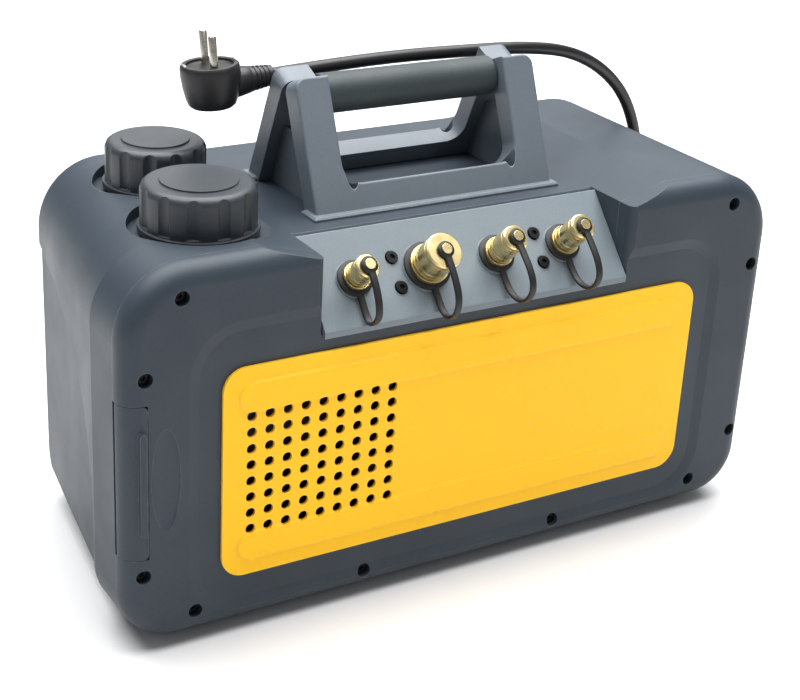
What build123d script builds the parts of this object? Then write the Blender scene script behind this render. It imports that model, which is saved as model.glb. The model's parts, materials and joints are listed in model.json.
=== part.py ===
"""HVAC vacuum pump in a carry case: a two-piece moulded case with a sloped port panel, a vented
front panel, a corner door over the drain valve, two oil tanks with screw caps, an A-shaped carry
handle and a direct-drive rotary vane pump inside.

Frame: millimetres, origin at the centre of the footprint on the floor, +X right, +Y back, +Z up.
"""
import math
import os

from build123d import *

# ---------------------------------------------------------------- driving dimensions
BODY_W = 442.0            # case width, left end to right end
BODY_D = 204.0            # case depth, front face to rear face
CASE_TOP = 231.0          # top of the case above the floor
FOOT_H = 6.0              # rubber feet
WALL = 3.0                # moulded wall
GAP = 0.3                 # clearance between separate mouldings
SPLIT_DEPTH = 14.0        # depth of the front cover
TOP_R = 42.0              # case corners seen from the front
BOTTOM_R = 32.0
FRONT_EDGE_R = 12.0
REAR_EDGE_R = 18.0
TAPER_START = 44.0        # from the front face to where the left end turns in
TAPER_X = 28.0            # how far the left end turns in at the rear

# Port panel: a flat panel sloped back from the front face
PORT_SLOPE = 48.0         # degrees from the floor
PORT_BASE_Z = 179.0       # lower edge of the sloped plane on the front face
PORT_PANEL_W = 208.0
PORT_PANEL_X = 2.5
PORT_PANEL_T = 3.0
PORT_UP = 27.5            # port axes, up the slope from its lower edge
PORT_PITCH = 47.7
PORT_X0 = -74.5           # first port
PORT_EDGE_R = 7.0         # radius where the panel's recess meets the front face
INCH = 25.4
# name, thread diameter (SAE 45 degree flare sizes), bore of the tube end, end of the cap above the panel
PORTS = [
    ("quarter", 7 / 16 * INCH, 4.8, 21.5),
    ("half", 3 / 4 * INCH, 10.6, 25.5),
    ("five_sixteenths", 1 / 2 * INCH, 6.2, 27.0),
    ("five_sixteenths_spare", 1 / 2 * INCH, 6.2, 27.0),
]
CAP_WALL = 1.35           # brass cap around the thread's clearance
THREAD_CLEAR = 0.15       # cap bore over thread crest, radial
FLANGE_H = 2.6            # round flange that holds the strap's ring down
FLANGE_OUT = 2.6          # flange beyond the thread
CAP_START = 7.2
CAP_END_T = 2.0
NOSE_GAP = 2.0            # flare's tip to the inside of the cap's end
CAP_BUTTON_R = 2.2
CAP_BUTTON_H = 3.0
STRAP_T = 2.2
STRAP_W = 4.0
STRAP_RING_OUT = 5.2      # strap's ring beyond the thread
STRAP_DROP = 24.0         # the loop hangs this far below the caps' brass

# Deck between the two raised shoulders, where the handle stands
DECK_Z = 222.0
DECK_RAMP = 34.0          # width of each concave ramp up to a shoulder

# Front field and vented panel
FIELD_W = 352.0
FIELD_TOP_Z = 189.0
FIELD_BOTTOM_Z = 22.0
FIELD_R = 26.0
FIELD_DEPTH = 2.0
FIELD_SLOPE = 7.0         # width of the soft slope round the field
PANEL_W = 326.0
PANEL_H = 130.0
PANEL_Z = 37.5            # lower edge of the panel
PANEL_R = 14.0
PANEL_T = 2.0
BAND_H = 1.2              # raised bands along the panel's top and bottom
BAND_Z = 19.0             # height of a band
VENT_COLUMNS = 9
VENT_ROWS = 8
VENT_PITCH_X = 11.2
VENT_PITCH_Z = 10.1
VENT_D = 6.0
VENT_LEFT = 17.5          # panel's left edge to the first column
VENT_TOP = 30.0           # panel's top edge to the first row

# Corner door over the drain valve
DOOR_X = 14.0             # how far the door reaches over the front face
DOOR_Z0 = 63.0
DOOR_H = 93.0
DOOR_KNUCKLE_R = 2.5

# Oil caps and tanks
OIL_CAPS = {"fresh": (-149.0, 62.0, 34.0), "waste": (-141.0, 139.0, 31.0)}
WELL_CLEAR = 6.0          # radial room around a cap
WELL_Z = 224.0            # floor of the wells
CAP_BASE_Z = 226.5
CAP_TOP_Z = 255.0
NECK_R = 19.0
NECK_WALL = 2.5
NECK_TOP_Z = 240.0
OIL_THREAD_CLEAR = 0.4
TANK_Z0 = 138.0

# Handle
HANDLE_X = 4.5
HANDLE_Y = 101.5          # from the front face
HANDLE_HALF_W = 82.0
HANDLE_BASE_HALF_D = 45.0
HANDLE_TOP_Z = 297.0
HANDLE_LEAN = 23.0
HANDLE_POST_W = 22.0
HANDLE_RAIL_H = 18.0
HANDLE_FRAME_T = 14.0
HANDLE_FOOT_H = 2.4       # flange round the frame's foot
HANDLE_FOOT_OUT = 3.0
GRIP_R = 12.0
GRIP_Z = 282.0
GRIP_TENON_R = 8.0
GRIP_TENON_L = 9.0

# Motor and pump, on one axis along X
SHAFT_Y = 107.0           # from the front face
SHAFT_Z = 84.0
SHAFT_R = 8.0
MOTOR_X0 = 20.0
MOTOR_L = 128.0
MOTOR_R = 62.0
MOTOR_WALL = 5.0
ROTOR_R = 32.0
AIR_GAP = 0.6
PUMP_X0 = -118.0
PUMP_L = 92.0
PUMP_R = 46.0
PUMP_BORE_R = 31.0
PUMP_OFFSET = 4.5         # bore centre above the shaft axis
PUMP_ROTOR_R = 26.3
VANE_T = 4.0
VANE_H = 14.0
END_PLATE_T = 10.0

# Power cord
CORD_D = 8.0
COIL_R = 44.0             # radius at mid-turns
COIL_TURNS = 3.6
COIL_X = 300.0
COIL_Y = 228.0            # from the front face

# Fasteners
SCREW_R = 2.0
SCREW_HEAD_R = 3.6
SCREW_HEAD_H = 2.6
SCREW_WELL_R = 4.3
BOSS_R = 7.0


# Small sizes shared by several pieces
FIT = 0.05                # running and locating fits, radial
BAND_IN = 9.0             # raised bands in from the panel's edges
# hollow in the left end: its ledge, from the front face and above the floor
SCOOP_LEDGE = [(47, -1), (47, 92), (66, 130), (96, 154), (140, 172)]
SCOOP_DEPTH = 8.0
PORT_SCREW_L = 12.0
SCREW_SEAT = 7.0          # screw heads below the front face
BOSS_L = 26.0
RIB_T = 4.0
SHANK_HOLE_R = 10.5
SHANK_L = 10.0
RING_W = 5.5              # raised ring round each port
RING_H = 1.0
TOP_RING_R = 5.0
MANIFOLD_T = 26.0
MANIFOLD_H = 28.0
MANIFOLD_END = 16.0
PIPE_R = 6.0
PIPE_X = -60.0
PIPE_IN = 8.0
PIN_R = 1.1
DOOR_T = 2.6
FINGER_W = 17.0           # finger hollow beside the door
FINGER_H = 62.0
BAY_W = 38.0
BAY_D = 34.0
BAY_WALL = 2.0
VALVE_R = 7.0
VALVE_IN = 22.0           # valve from the case's left end
VALVE_Z = 92.0
STEM_R = 2.5
LEVER_L = 15.0
SERVICE_W = 66.0          # pocket in the right end
SERVICE_H = 84.0
SERVICE_Y = 148.0         # from the front face
SERVICE_Z = 86.0
SERVICE_DEPTH = 10.0
SWITCH_W = 22.0
SWITCH_H = 30.0
SWITCH_Z = 106.0
GLAND_R = 8.0
GLAND_L = 26.0
GLAND_Z = 62.0
GLAND_ASIDE = 18.0
REAR_SLOTS = 9
REAR_SLOT_X = 90.0
REAR_SLOT_Z = 92.0
REAR_SLOT_L = 70.0
REAR_SLOT_W = 5.0
REAR_SLOT_PITCH = 12.0
FLUTES = 12
OIL_SEAL_T = 2.5
TANK_HALF_X = 28.0
HANDLE_SEAT = 7.0
WEB_T = 5.0
BASE_X0 = -130.0
BASE_X1 = 160.0
BASE_HALF_D = 50.0
BASE_T = 3.0
MOTOR_FINS = 7
BELL_T = 8.0
BEARING_R = 16.0
FAN_X = 12.0              # from the rear bell to the fan
FAN_T = 12.0
FAN_BLADES = 7
FOOT_R = 10.0
FOOT_X = 108.0
FOOT_Y = 72.0             # from the case's middle
BUNDLE_R = 8.5            # coiled cord: half the bundle's thickness
COIL_Z = BUNDLE_R + 1.1
TIE_T = 1.0
TIE_W = 8.0
CLIP_W = 8.0
CLIP_R = 5.4               # groove for the cord
CLIP_Y = 126.5            # from the front face
CLIP_Z = 291.0
PLUG_X = -111.5           # middle of the plug
PLUG_Y = CLIP_Y
PLUG_Z = 290.0
PLUG_H = 26.0
PLUG_R = 17.5
PLUG_TILT = 28.0          # leans back
PIN_TURN = 42.0
PLUG_BOOT_Z = 290.0
PLUG_BOOT_X = -79.0       # end of the plug's cord boot

# Cord routes, Y from the front face: gland to coil, and coil to plug
CORD_LEAD = [(262, 168, 61), (286, 171, 51), (306, 178, 37), (324, 189, 23), (334, 202, 13)]
CORD_RUN = [(256, 228, 13), (256, 207, 15), (257, 186, 23), (257, 166, 39), (253, 154, 64), (248, 150, 97),
            (242, 150, 131), (237, 151, 166), (230, 150, 200), (215, 147, 236), (189, 142, 262),
            (152, 134, 281), (110, 128, 290), (66, 126.5, 292), (16, 127, 294), (-34, 126.5, 292),
            (PLUG_BOOT_X, PLUG_Y, PLUG_BOOT_Z)]

# ---------------------------------------------------------------- derived places
slope = math.radians(PORT_SLOPE)
lean = math.radians(HANDLE_LEAN)
strap_reach = [(cap_end - 1) * math.sin(slope) + (thread / 2 + STRAP_DROP - 6 - PORT_UP) * math.cos(slope)
               for _, thread, _, cap_end in PORTS]
FRONT_REACH = max(strap_reach)     # how far the straps' loops hang in front of the case
FRONT_Y = -(BODY_D + FRONT_REACH) / 2 + FRONT_REACH
REAR_Y = FRONT_Y + BODY_D
SPLIT_Y = FRONT_Y + SPLIT_DEPTH
PORT_LEN = (DECK_Z - PORT_BASE_Z) / math.sin(slope)
port_xs = [PORT_X0 + i * PORT_PITCH for i in range(len(PORTS))]
shaft_y = FRONT_Y + SHAFT_Y
handle_y = FRONT_Y + HANDLE_Y
clip_y = FRONT_Y + CLIP_Y
cord_r = CORD_D / 2
VALVE_X = -BODY_W / 2 + VALVE_IN
DOOR_TOP = DOOR_Z0 + DOOR_H
DOOR_EDGE_X = -BODY_W / 2 + DOOR_X


# ---------------------------------------------------------------- helpers
def block(x0, x1, y0, y1, z0, z1):
    """Box from its lowest to its highest corner."""
    return Pos((x0 + x1) / 2, (y0 + y1) / 2, (z0 + z1) / 2) * Box(x1 - x0, y1 - y0, z1 - z0)


def rod(radius, z0, z1):
    """Cylinder on the local Z axis."""
    return Pos(0, 0, z0) * Cylinder(radius, z1 - z0, align=(Align.CENTER, Align.CENTER, Align.MIN))


def rod_x(radius, x0, x1, y, z):
    """Cylinder along X."""
    return Pos(x0, y, z) * Rot(0, 90, 0) * rod(radius, 0, x1 - x0)


def rod_y(radius, y0, y1, x, z):
    """Cylinder along Y."""
    return Pos(x, y0, z) * Rot(-90, 0, 0) * rod(radius, 0, y1 - y0)


def along_y(sketch, y0, y1):
    """Extrude a sketch drawn in X (right) and Z (up) from y0 back to y1."""
    return extrude(Plane.XZ.offset(-y0) * sketch, -(y1 - y0))


def port_place(x, up=PORT_UP):
    """Plane on the port panel: local Z is the port's axis, local Y runs up the slope."""
    origin = (x, FRONT_Y + up * math.cos(slope), PORT_BASE_Z + up * math.sin(slope))
    return Plane(origin=origin, x_dir=(1, 0, 0), z_dir=(0, -math.sin(slope), math.cos(slope)))


# ---------------------------------------------------------------- case skin
def case_outline(inset, left):
    """Front view of the case, inset by a wall, with its left end at x = left."""
    x0, x1 = left + inset, BODY_W / 2 - inset
    z0, z1 = FOOT_H + inset, CASE_TOP - inset
    sketch = Pos((x0 + x1) / 2, (z0 + z1) / 2) * Rectangle(x1 - x0, z1 - z0)
    sketch = fillet(sketch.vertices().group_by(Axis.Y)[-1], TOP_R - inset)
    return fillet(sketch.vertices().group_by(Axis.Y)[0], BOTTOM_R - inset)


def case_core(inset):
    """Case without its recesses: a rounded block whose left end turns in towards the rear."""
    front, rear = FRONT_Y + inset, REAR_Y - inset
    turn = FRONT_Y + TAPER_START
    straight = along_y(case_outline(inset, -BODY_W / 2), front, turn)
    sections = [Plane.XZ.offset(-turn) * case_outline(inset, -BODY_W / 2),
                Plane.XZ.offset(-rear) * case_outline(inset, -BODY_W / 2 + TAPER_X)]
    core = straight + loft(sections, ruled=True)
    core = fillet(core.edges().filter_by_position(Axis.Y, front, front), FRONT_EDGE_R - inset)
    return fillet(core.edges().filter_by_position(Axis.Y, rear, rear), REAR_EDGE_R - inset)


def deck_cut(inset):
    """Trough between the shoulders, with concave ramps."""
    x0 = PORT_PANEL_X - PORT_PANEL_W / 2 - inset
    x1 = PORT_PANEL_X + PORT_PANEL_W / 2 + inset
    rise = CASE_TOP - DECK_Z
    over = 3.0
    reach = DECK_RAMP * (rise + inset + over) / rise
    outline = Polyline((x0, DECK_Z - inset), (x1, DECK_Z - inset), (x1 + reach, CASE_TOP + over),
                       (x0 - reach, CASE_TOP + over), close=True)
    sketch = make_face(outline)
    sketch = fillet(sketch.vertices().group_by(Axis.Y)[0], DECK_RAMP * 1.6)
    return along_y(sketch, FRONT_Y - 1, REAR_Y + 1)


def port_cut(inset):
    """Wedge in front of the port panel's seat, flared with a radius at the front face."""
    x0 = PORT_PANEL_X - PORT_PANEL_W / 2 - GAP - inset
    x1 = PORT_PANEL_X + PORT_PANEL_W / 2 + GAP + inset
    seat = PORT_PANEL_T + inset
    up = 90.0
    wedge = Pos(0, up / 2 - 20, up / 2 - seat) * Box(2 * BODY_W, up + 40, up)
    flare_y = FRONT_Y + inset - 0.6
    outline = Polyline((x0, REAR_Y), (x1, REAR_Y), (x1, flare_y), (x1 + 30, flare_y), (x1 + 30, flare_y - 60),
                       (x0 - 30, flare_y - 60), (x0 - 30, flare_y), (x0, flare_y), close=True)
    sketch = make_face(outline)
    corners = [v for v in sketch.vertices() if abs(v.Y - flare_y) < 0.1 and x0 - 1 < v.X < x1 + 1]
    sketch = fillet(corners, PORT_EDGE_R + inset)
    plan = extrude(Plane.XY.offset(100) * sketch, 200)
    return port_place((x0 + x1) / 2, 0) * wedge & plan


def field_cut(inset):
    """Shallow field in the front face, around the vented panel, with a soft slope all round."""
    middle = Pos(0, (FIELD_TOP_Z + FIELD_BOTTOM_Z) / 2)
    height = FIELD_TOP_Z - FIELD_BOTTOM_Z
    rims = []
    for depth in (-1.0, FIELD_DEPTH):
        grow = inset + FIELD_SLOPE * (FIELD_DEPTH - depth) / FIELD_DEPTH
        rim = RectangleRounded(FIELD_W + 2 * grow, height + 2 * grow, FIELD_R + grow)
        rims.append(Plane.XZ.offset(-FRONT_Y - inset - depth) * middle * rim)
    return loft(rims, ruled=True)


def scoop_cut(inset):
    """Shallow hollow in the left end, under a ledge that climbs towards the rear."""
    rear = BODY_D + 5
    outline = [(FRONT_Y + y - inset, z + inset) for y, z in SCOOP_LEDGE + [(rear, 182), (rear, -1)]]
    sketch = make_face(Polyline(*outline, close=True))
    sketch = fillet(sketch.vertices().sort_by(Axis.X)[1:5], 24)
    hollow = extrude(Plane.YZ.offset(-BODY_W / 2 - 5) * sketch, 60)
    x_front = -BODY_W / 2 + SCOOP_DEPTH + inset
    x_rear = x_front + TAPER_X - SCOOP_DEPTH / 2
    back = Polyline((-BODY_W, FRONT_Y), (x_front, FRONT_Y + TAPER_START), (x_rear, REAR_Y + 9),
                    (-BODY_W, REAR_Y + 9), close=True)
    return hollow & extrude(Plane.XY.offset(-5) * make_face(back), 300)


def service_cut(inset):
    """Pocket in the right end for the switch and the cable gland."""
    half = SERVICE_W / 2 + inset
    y = FRONT_Y + SERVICE_Y
    z0, z1 = SERVICE_Z - SERVICE_H / 2 - inset, SERVICE_Z + SERVICE_H / 2 + inset
    return block(BODY_W / 2 - SERVICE_DEPTH - inset, BODY_W / 2 + 5, y - half, y + half, z0, z1)


def case_skin(inset):
    """Outer form of the case at a given depth under its surface."""
    skin = case_core(inset) - deck_cut(inset) - port_cut(inset) - field_cut(inset)
    skin = skin - scoop_cut(inset) - service_cut(inset)
    for x, y, radius in OIL_CAPS.values():
        place = Pos(x, FRONT_Y + y, WELL_Z - inset)
        skin -= place * rod(radius + WELL_CLEAR + inset, 0, 40)
    return skin


# ---------------------------------------------------------------- case mouldings
def cover_screw_places():
    """X and Z of the screws that hold the front cover, in mirrored pairs."""
    half = BODY_W / 2
    pairs = [(half - 34, CASE_TOP - 17), (half - 13, CASE_TOP - 60), (half - 11, FOOT_H + 46),
             (half - 42, FOOT_H + 16), (half - 152, FOOT_H + 12)]
    return [(side * x, z) for x, z in pairs for side in (-1, 1)]


def port_holes():
    """Holes in the case under the port panel, for the fittings' shanks and the panel's screws."""
    under = -PORT_PANEL_T - WALL - 4
    holes = [port_place(x) * rod(SHANK_HOLE_R, under, 1) for x in port_xs]
    return holes + [port_place(x, up) * rod(SCREW_R + GAP, under, 1) for x, up in port_screw_places()]


def cover_bosses(outer):
    """Bosses behind the parting line, each with a rib out to the nearest wall."""
    bosses = []
    for x, z in cover_screw_places():
        bosses.append(rod_y(BOSS_R, SPLIT_Y, SPLIT_Y + BOSS_L, x, z))
        out_x = math.copysign(BODY_W, x) if abs(x) > BODY_W / 2 - 20 else x
        out_z = z if out_x != x else (0 if z < CASE_TOP / 2 else CASE_TOP + 5)
        x0, x1 = sorted((x, out_x))
        z0, z1 = sorted((z, out_z))
        rib = RIB_T / 2
        bosses.append(block(x0 - rib, x1 + rib, SPLIT_Y, SPLIT_Y + BOSS_L, z0 - rib, z1 + rib))
    return (Compound(bosses) & outer).solids()


def front_cover(outer, shell):
    """Front moulding, with screw wells, the vent window and the door's corner opening."""
    cover = shell & block(-BODY_W, BODY_W, FRONT_Y - 5, SPLIT_Y, 0, CASE_TOP + 5)
    wells = [rod_y(BOSS_R, FRONT_Y, SPLIT_Y, x, z) for x, z in cover_screw_places()]
    cover += (Compound(wells) & outer).solids()
    for x, z in cover_screw_places():
        cover -= rod_y(SCREW_WELL_R, FRONT_Y - 5, FRONT_Y + SCREW_SEAT, x, z)
        cover -= rod_y(SCREW_R + GAP, FRONT_Y, SPLIT_Y + 1, x, z)
    lugs = block(-BODY_W / 2, hinge_x() + 6, SPLIT_Y - 9, SPLIT_Y, DOOR_Z0 - 7, DOOR_Z0 - GAP)
    lugs += block(-BODY_W / 2, hinge_x() + 6, SPLIT_Y - 9, SPLIT_Y, DOOR_TOP + GAP, DOOR_TOP + 7)
    cover += (lugs & outer).solids()
    cover -= block(-BODY_W, DOOR_EDGE_X + GAP, FRONT_Y - 5, SPLIT_Y + 1, DOOR_Z0 - GAP, DOOR_TOP + GAP)
    cover -= Pos(hinge_x(), hinge_y(), 0) * rod(PIN_R + FIT, DOOR_Z0 - 6, DOOR_TOP + 6)
    cover = cover - vent_window() - port_holes()
    scoop = Pos(DOOR_EDGE_X + FINGER_W / 2 + 2, FRONT_Y, door_middle())
    cover -= scoop * Rot(90, 0, 0) * scale(Sphere(1), (FINGER_W / 2, FINGER_H / 2, WALL * 0.55))
    return cover


def main_housing(outer, shell):
    """Rear moulding, with bosses for the cover's screws and holes for everything it carries."""
    housing = shell & block(-BODY_W, BODY_W, SPLIT_Y, REAR_Y + 5, 0, CASE_TOP + 5)
    housing += cover_bosses(outer)
    for x, z in cover_screw_places():
        housing -= rod_y(SCREW_R, SPLIT_Y - 1, SPLIT_Y + BOSS_L - 3, x, z)
    for x, y, _ in OIL_CAPS.values():
        housing -= Pos(x, FRONT_Y + y, WELL_Z - 20) * rod(NECK_R + GAP, 0, 30)
    housing -= port_holes()
    for x, y in handle_screw_places():
        housing -= Pos(x, y, DECK_Z) * rod(SCREW_R, -WALL - 1, 1)
    x_wall = BODY_W / 2 - SERVICE_DEPTH
    housing -= rod_x(GLAND_R + GAP, x_wall - 10, x_wall + 1, gland_y(), GLAND_Z)
    housing -= block(x_wall - 10, x_wall + 1, switch_y() - SWITCH_W / 2 - GAP,
                     switch_y() + SWITCH_W / 2 + GAP, SWITCH_Z - SWITCH_H / 2 - GAP,
                     SWITCH_Z + SWITCH_H / 2 + GAP)
    for i in range(REAR_SLOTS):
        x = REAR_SLOT_X + (i - (REAR_SLOTS - 1) / 2) * REAR_SLOT_PITCH
        slot = Pos(x, REAR_SLOT_Z) * SlotOverall(REAR_SLOT_L, REAR_SLOT_W, rotation=90)
        housing -= along_y(slot, REAR_Y - WALL - 5, REAR_Y + 1)
    return housing


def hinge_x():
    return -BODY_W / 2 + DOOR_KNUCKLE_R


def hinge_y():
    return SPLIT_Y - DOOR_KNUCKLE_R - GAP


def door_middle():
    return DOOR_Z0 + DOOR_H / 2


def corner_door(outer):
    """Door round the front left corner, with its knuckle and pull ridge."""
    region = block(-BODY_W, DOOR_EDGE_X, FRONT_Y - 5, hinge_y(), DOOR_Z0, DOOR_TOP)
    door = (outer - case_core(DOOR_T)) & region
    corners = door.edges().filter_by(Axis.Y).group_by(Axis.X)[-1]
    door = fillet(corners, 3)
    knuckle = Pos(hinge_x(), hinge_y(), 0)
    door += knuckle * rod(DOOR_KNUCKLE_R, DOOR_Z0, DOOR_TOP)
    door -= knuckle * rod(PIN_R + FIT, DOOR_Z0 - 1, DOOR_TOP + 1)
    ridge = block(DOOR_EDGE_X - 5.5, DOOR_EDGE_X - 1.5, FRONT_Y - 2.6, FRONT_Y + 1,
                  DOOR_Z0 + 16, DOOR_TOP - 15)
    ridge = fillet(ridge.edges().filter_by(Axis.Y), 1.6)
    return door + ridge


def hinge_pin():
    return Pos(hinge_x(), hinge_y(), 0) * rod(PIN_R, DOOR_Z0 - 5.5, DOOR_TOP + 5.5)


def valve_bay():
    """Tray behind the door, open to the front and the left."""
    x0, x1 = -BODY_W / 2 + WALL + GAP, -BODY_W / 2 + BAY_W
    y0, y1 = FRONT_Y + WALL + FIELD_DEPTH + GAP, FRONT_Y + BAY_D
    z0, z1 = DOOR_Z0, DOOR_TOP
    tray = block(x0 + 8, x1, y0, y1, z0, z1) + block(x0, x1, SPLIT_Y + GAP, y1, z0, z1)
    tray -= block(x0 - 30, x1 - BAY_WALL, y0 - 30, y1 - BAY_WALL, z0 + BAY_WALL, z1 - BAY_WALL)
    return tray - rod_y(VALVE_R + GAP, y1 - 5, y1 + 5, VALVE_X, VALVE_Z)


def drain_valve():
    """Oil drain valve: body through the back of the bay, stem and hose barb."""
    y_back = FRONT_Y + BAY_D
    y_front = y_back - BAY_WALL - 8
    valve = rod_y(VALVE_R, y_front, y_back + 8, VALVE_X, VALVE_Z)
    valve += rod_y(VALVE_R + 3, y_back, y_back + 5, VALVE_X, VALVE_Z)
    valve += rod_y(4, y_back + 8, y_back + 20, VALVE_X, VALVE_Z)
    return valve + rod_y(STEM_R, y_front - 6, y_front, VALVE_X, VALVE_Z)


def drain_lever():
    """Quarter-turn lever on the drain valve's stem."""
    y0 = FRONT_Y + BAY_D - BAY_WALL - 8 - 5
    arm = block(VALVE_X - 3, VALVE_X + 3, y0, y0 + 3, VALVE_Z, VALVE_Z + LEVER_L)
    arm += rod_y(5.5, y0, y0 + 4, VALVE_X, VALVE_Z)
    return arm - rod_y(STEM_R + FIT, y0 - 1, y0 + 9, VALVE_X, VALVE_Z)


# ---------------------------------------------------------------- front panel
def vent_window():
    """Opening in the cover behind the panel's holes."""
    x0 = -PANEL_W / 2 + VENT_LEFT - VENT_PITCH_X
    x1 = x0 + (VENT_COLUMNS + 1) * VENT_PITCH_X
    z1 = PANEL_Z + PANEL_H - VENT_TOP + VENT_PITCH_Z
    z0 = z1 - (VENT_ROWS + 1) * VENT_PITCH_Z
    return block(x0, x1, FRONT_Y, FRONT_Y + FIELD_DEPTH + WALL + 1, z0, z1)


def front_panel():
    """Coloured panel with two raised bands and a grid of round vents."""
    middle = PANEL_Z + PANEL_H / 2
    panel = along_y(Pos(0, middle) * RectangleRounded(PANEL_W, PANEL_H, PANEL_R),
                    FRONT_Y + FIELD_DEPTH - PANEL_T, FRONT_Y + FIELD_DEPTH)
    for side in (-1, 1):
        z = middle + side * (PANEL_H / 2 - BAND_IN - BAND_Z / 2)
        band = Pos(0, z) * RectangleRounded(PANEL_W - 2 * BAND_IN, BAND_Z, BAND_Z / 2 - 0.5)
        raised = along_y(band, FRONT_Y + FIELD_DEPTH - PANEL_T - BAND_H, FRONT_Y + FIELD_DEPTH)
        panel += chamfer(raised.faces().sort_by(Axis.Y)[0].edges(), BAND_H * 0.9)
    holes = []
    for column in range(VENT_COLUMNS):
        for row in range(VENT_ROWS):
            x = -PANEL_W / 2 + VENT_LEFT + column * VENT_PITCH_X
            z = PANEL_Z + PANEL_H - VENT_TOP - row * VENT_PITCH_Z
            holes.append(Pos(x, z) * Circle(VENT_D / 2))
    return panel - along_y(Sketch() + holes, FRONT_Y - 5, FRONT_Y + 5)


# ---------------------------------------------------------------- ports
def port_screw_places():
    """X and distance up the slope of the screws in the port panel."""
    return [(x, up) for x in (port_xs[0] + 28, port_xs[-1] - 16.5) for up in (18.0, 36.5)]


def port_panel():
    """Sloped plate with a raised ring round each port."""
    under = PORT_PANEL_T / math.tan(slope)
    plate = Pos(0, (PORT_LEN - under) / 2, -PORT_PANEL_T / 2)
    plate = plate * Box(PORT_PANEL_W, PORT_LEN + under, PORT_PANEL_T)
    plate = port_place(PORT_PANEL_X, 0) * plate
    plate &= block(-BODY_W, BODY_W, FRONT_Y, REAR_Y, 0, DECK_Z)
    for x, (_, thread, *_) in zip(port_xs, PORTS):
        plate += port_place(x) * rod(thread / 2 + RING_W, -1, RING_H)
    for x, (_, thread, *_) in zip(port_xs, PORTS):
        plate -= port_place(x) * rod(shank_r(thread) + GAP, -PORT_PANEL_T - 3, RING_H + 1)
    for x, up in port_screw_places():
        plate -= port_place(x, up) * rod(SCREW_R + GAP, -PORT_PANEL_T - 3, 1)
        plate -= port_place(x, up) * rod(SCREW_HEAD_R + 0.5, -1.2, 1)
    return plate


def shank_r(thread):
    return thread / 2 - 0.8


def port_fitting(thread, bore, cap_end):
    """Flare fitting: flange over the strap's ring, male thread and 45 degree nose, shank into the block."""
    radius = thread / 2
    flange_z = RING_H + STRAP_T + 2 * GAP
    tip = cap_end - CAP_END_T - NOSE_GAP
    fitting = rod(radius + FLANGE_OUT, flange_z, flange_z + FLANGE_H)
    fitting += rod(shank_r(thread), -PORT_PANEL_T - WALL - SHANK_L, flange_z + 1)
    fitting += rod(radius, flange_z, tip - 3)
    nose = Pos(0, 0, tip - 3) * Cone(radius - 0.3, radius - 2.3, 3,
                                     align=(Align.CENTER, Align.CENTER, Align.MIN))
    return fitting + nose - rod(bore / 2, -40, tip + 1)


def port_cap(thread, cap_end):
    """Brass cap: closed end with a button, and two grooves round its skirt."""
    bore = thread / 2 + THREAD_CLEAR
    outside = bore + CAP_WALL
    cap = rod(outside, CAP_START, cap_end)
    cap = chamfer(cap.edges().group_by(Axis.Z)[-1], 0.8)
    for z in (CAP_START + 4, cap_end - 4):
        cap -= rod(outside + 1, z, z + 1) - rod(outside - 0.5, z, z + 1)
    cap += rod(CAP_BUTTON_R, cap_end - 1, cap_end + CAP_BUTTON_H)
    cap += rod(CAP_BUTTON_R + 0.9, cap_end + STRAP_T + GAP, cap_end + CAP_BUTTON_H)
    return cap - rod(bore, CAP_START - 1, cap_end - CAP_END_T)


def port_seal(thread, cap_end):
    """Seal disc between the flare's nose and the cap's end."""
    inside = cap_end - CAP_END_T
    return rod(thread / 2 - 0.3, inside - NOSE_GAP + FIT, inside - FIT)


def port_strap(thread, cap_end):
    """Rubber strap: a ring under the fitting's flange, a hanging loop, a ring round the cap's button."""
    base_z = RING_H + GAP
    mid_z = base_z + STRAP_T / 2
    base_r = thread / 2 + STRAP_RING_OUT
    top_z = cap_end + FIT
    high_z = top_z + STRAP_T / 2
    low = -thread / 2 - STRAP_DROP
    strap = rod(base_r, base_z, base_z + STRAP_T) + rod(TOP_RING_R, top_z, top_z + STRAP_T)
    points = [(2 - base_r, mid_z), (-base_r - 8, mid_z + 0.5), (low + 2, mid_z + 3), (low, high_z * 0.58),
              (low + 6, high_z - 1), (-TOP_RING_R - 4, high_z + 0.3), (1 - TOP_RING_R, high_z)]
    path = FilletPolyline(*points, radius=3)
    strap += extrude(Plane.YZ * trace(path, STRAP_T), STRAP_W / 2, both=True)
    strap -= rod(CAP_BUTTON_R + FIT, top_z - 1, top_z + 5)
    return strap - rod(shank_r(thread) + FIT, base_z - 1, base_z + STRAP_T + 1)


def manifold_block():
    """Metal block behind the port panel, joining the four ports."""
    x0, x1 = port_xs[0] - MANIFOLD_END, port_xs[-1] + MANIFOLD_END
    top = -PORT_PANEL_T - WALL
    body = Pos(0, 0, top - MANIFOLD_T / 2) * Box(x1 - x0, MANIFOLD_H, MANIFOLD_T)
    body = port_place((x0 + x1) / 2) * body
    for x, (_, thread, *_) in zip(port_xs, PORTS):
        body -= port_place(x) * rod(shank_r(thread) + FIT, top - SHANK_L - 1, top + 1)
    for x, up in port_screw_places():
        body -= port_place(x, up) * rod(SCREW_R, top - PORT_SCREW_L, top + 1)
    pipe = pipe_start()
    return body - port_place(pipe.X) * rod(PIPE_R + FIT, top - MANIFOLD_T - 1, top - MANIFOLD_T + PIPE_IN)


def pipe_start():
    """Centre of the manifold's outlet, at the bottom of its socket."""
    place = port_place(PIPE_X)
    return place.origin - place.z_dir * (PORT_PANEL_T + WALL + MANIFOLD_T - PIPE_IN)


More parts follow.
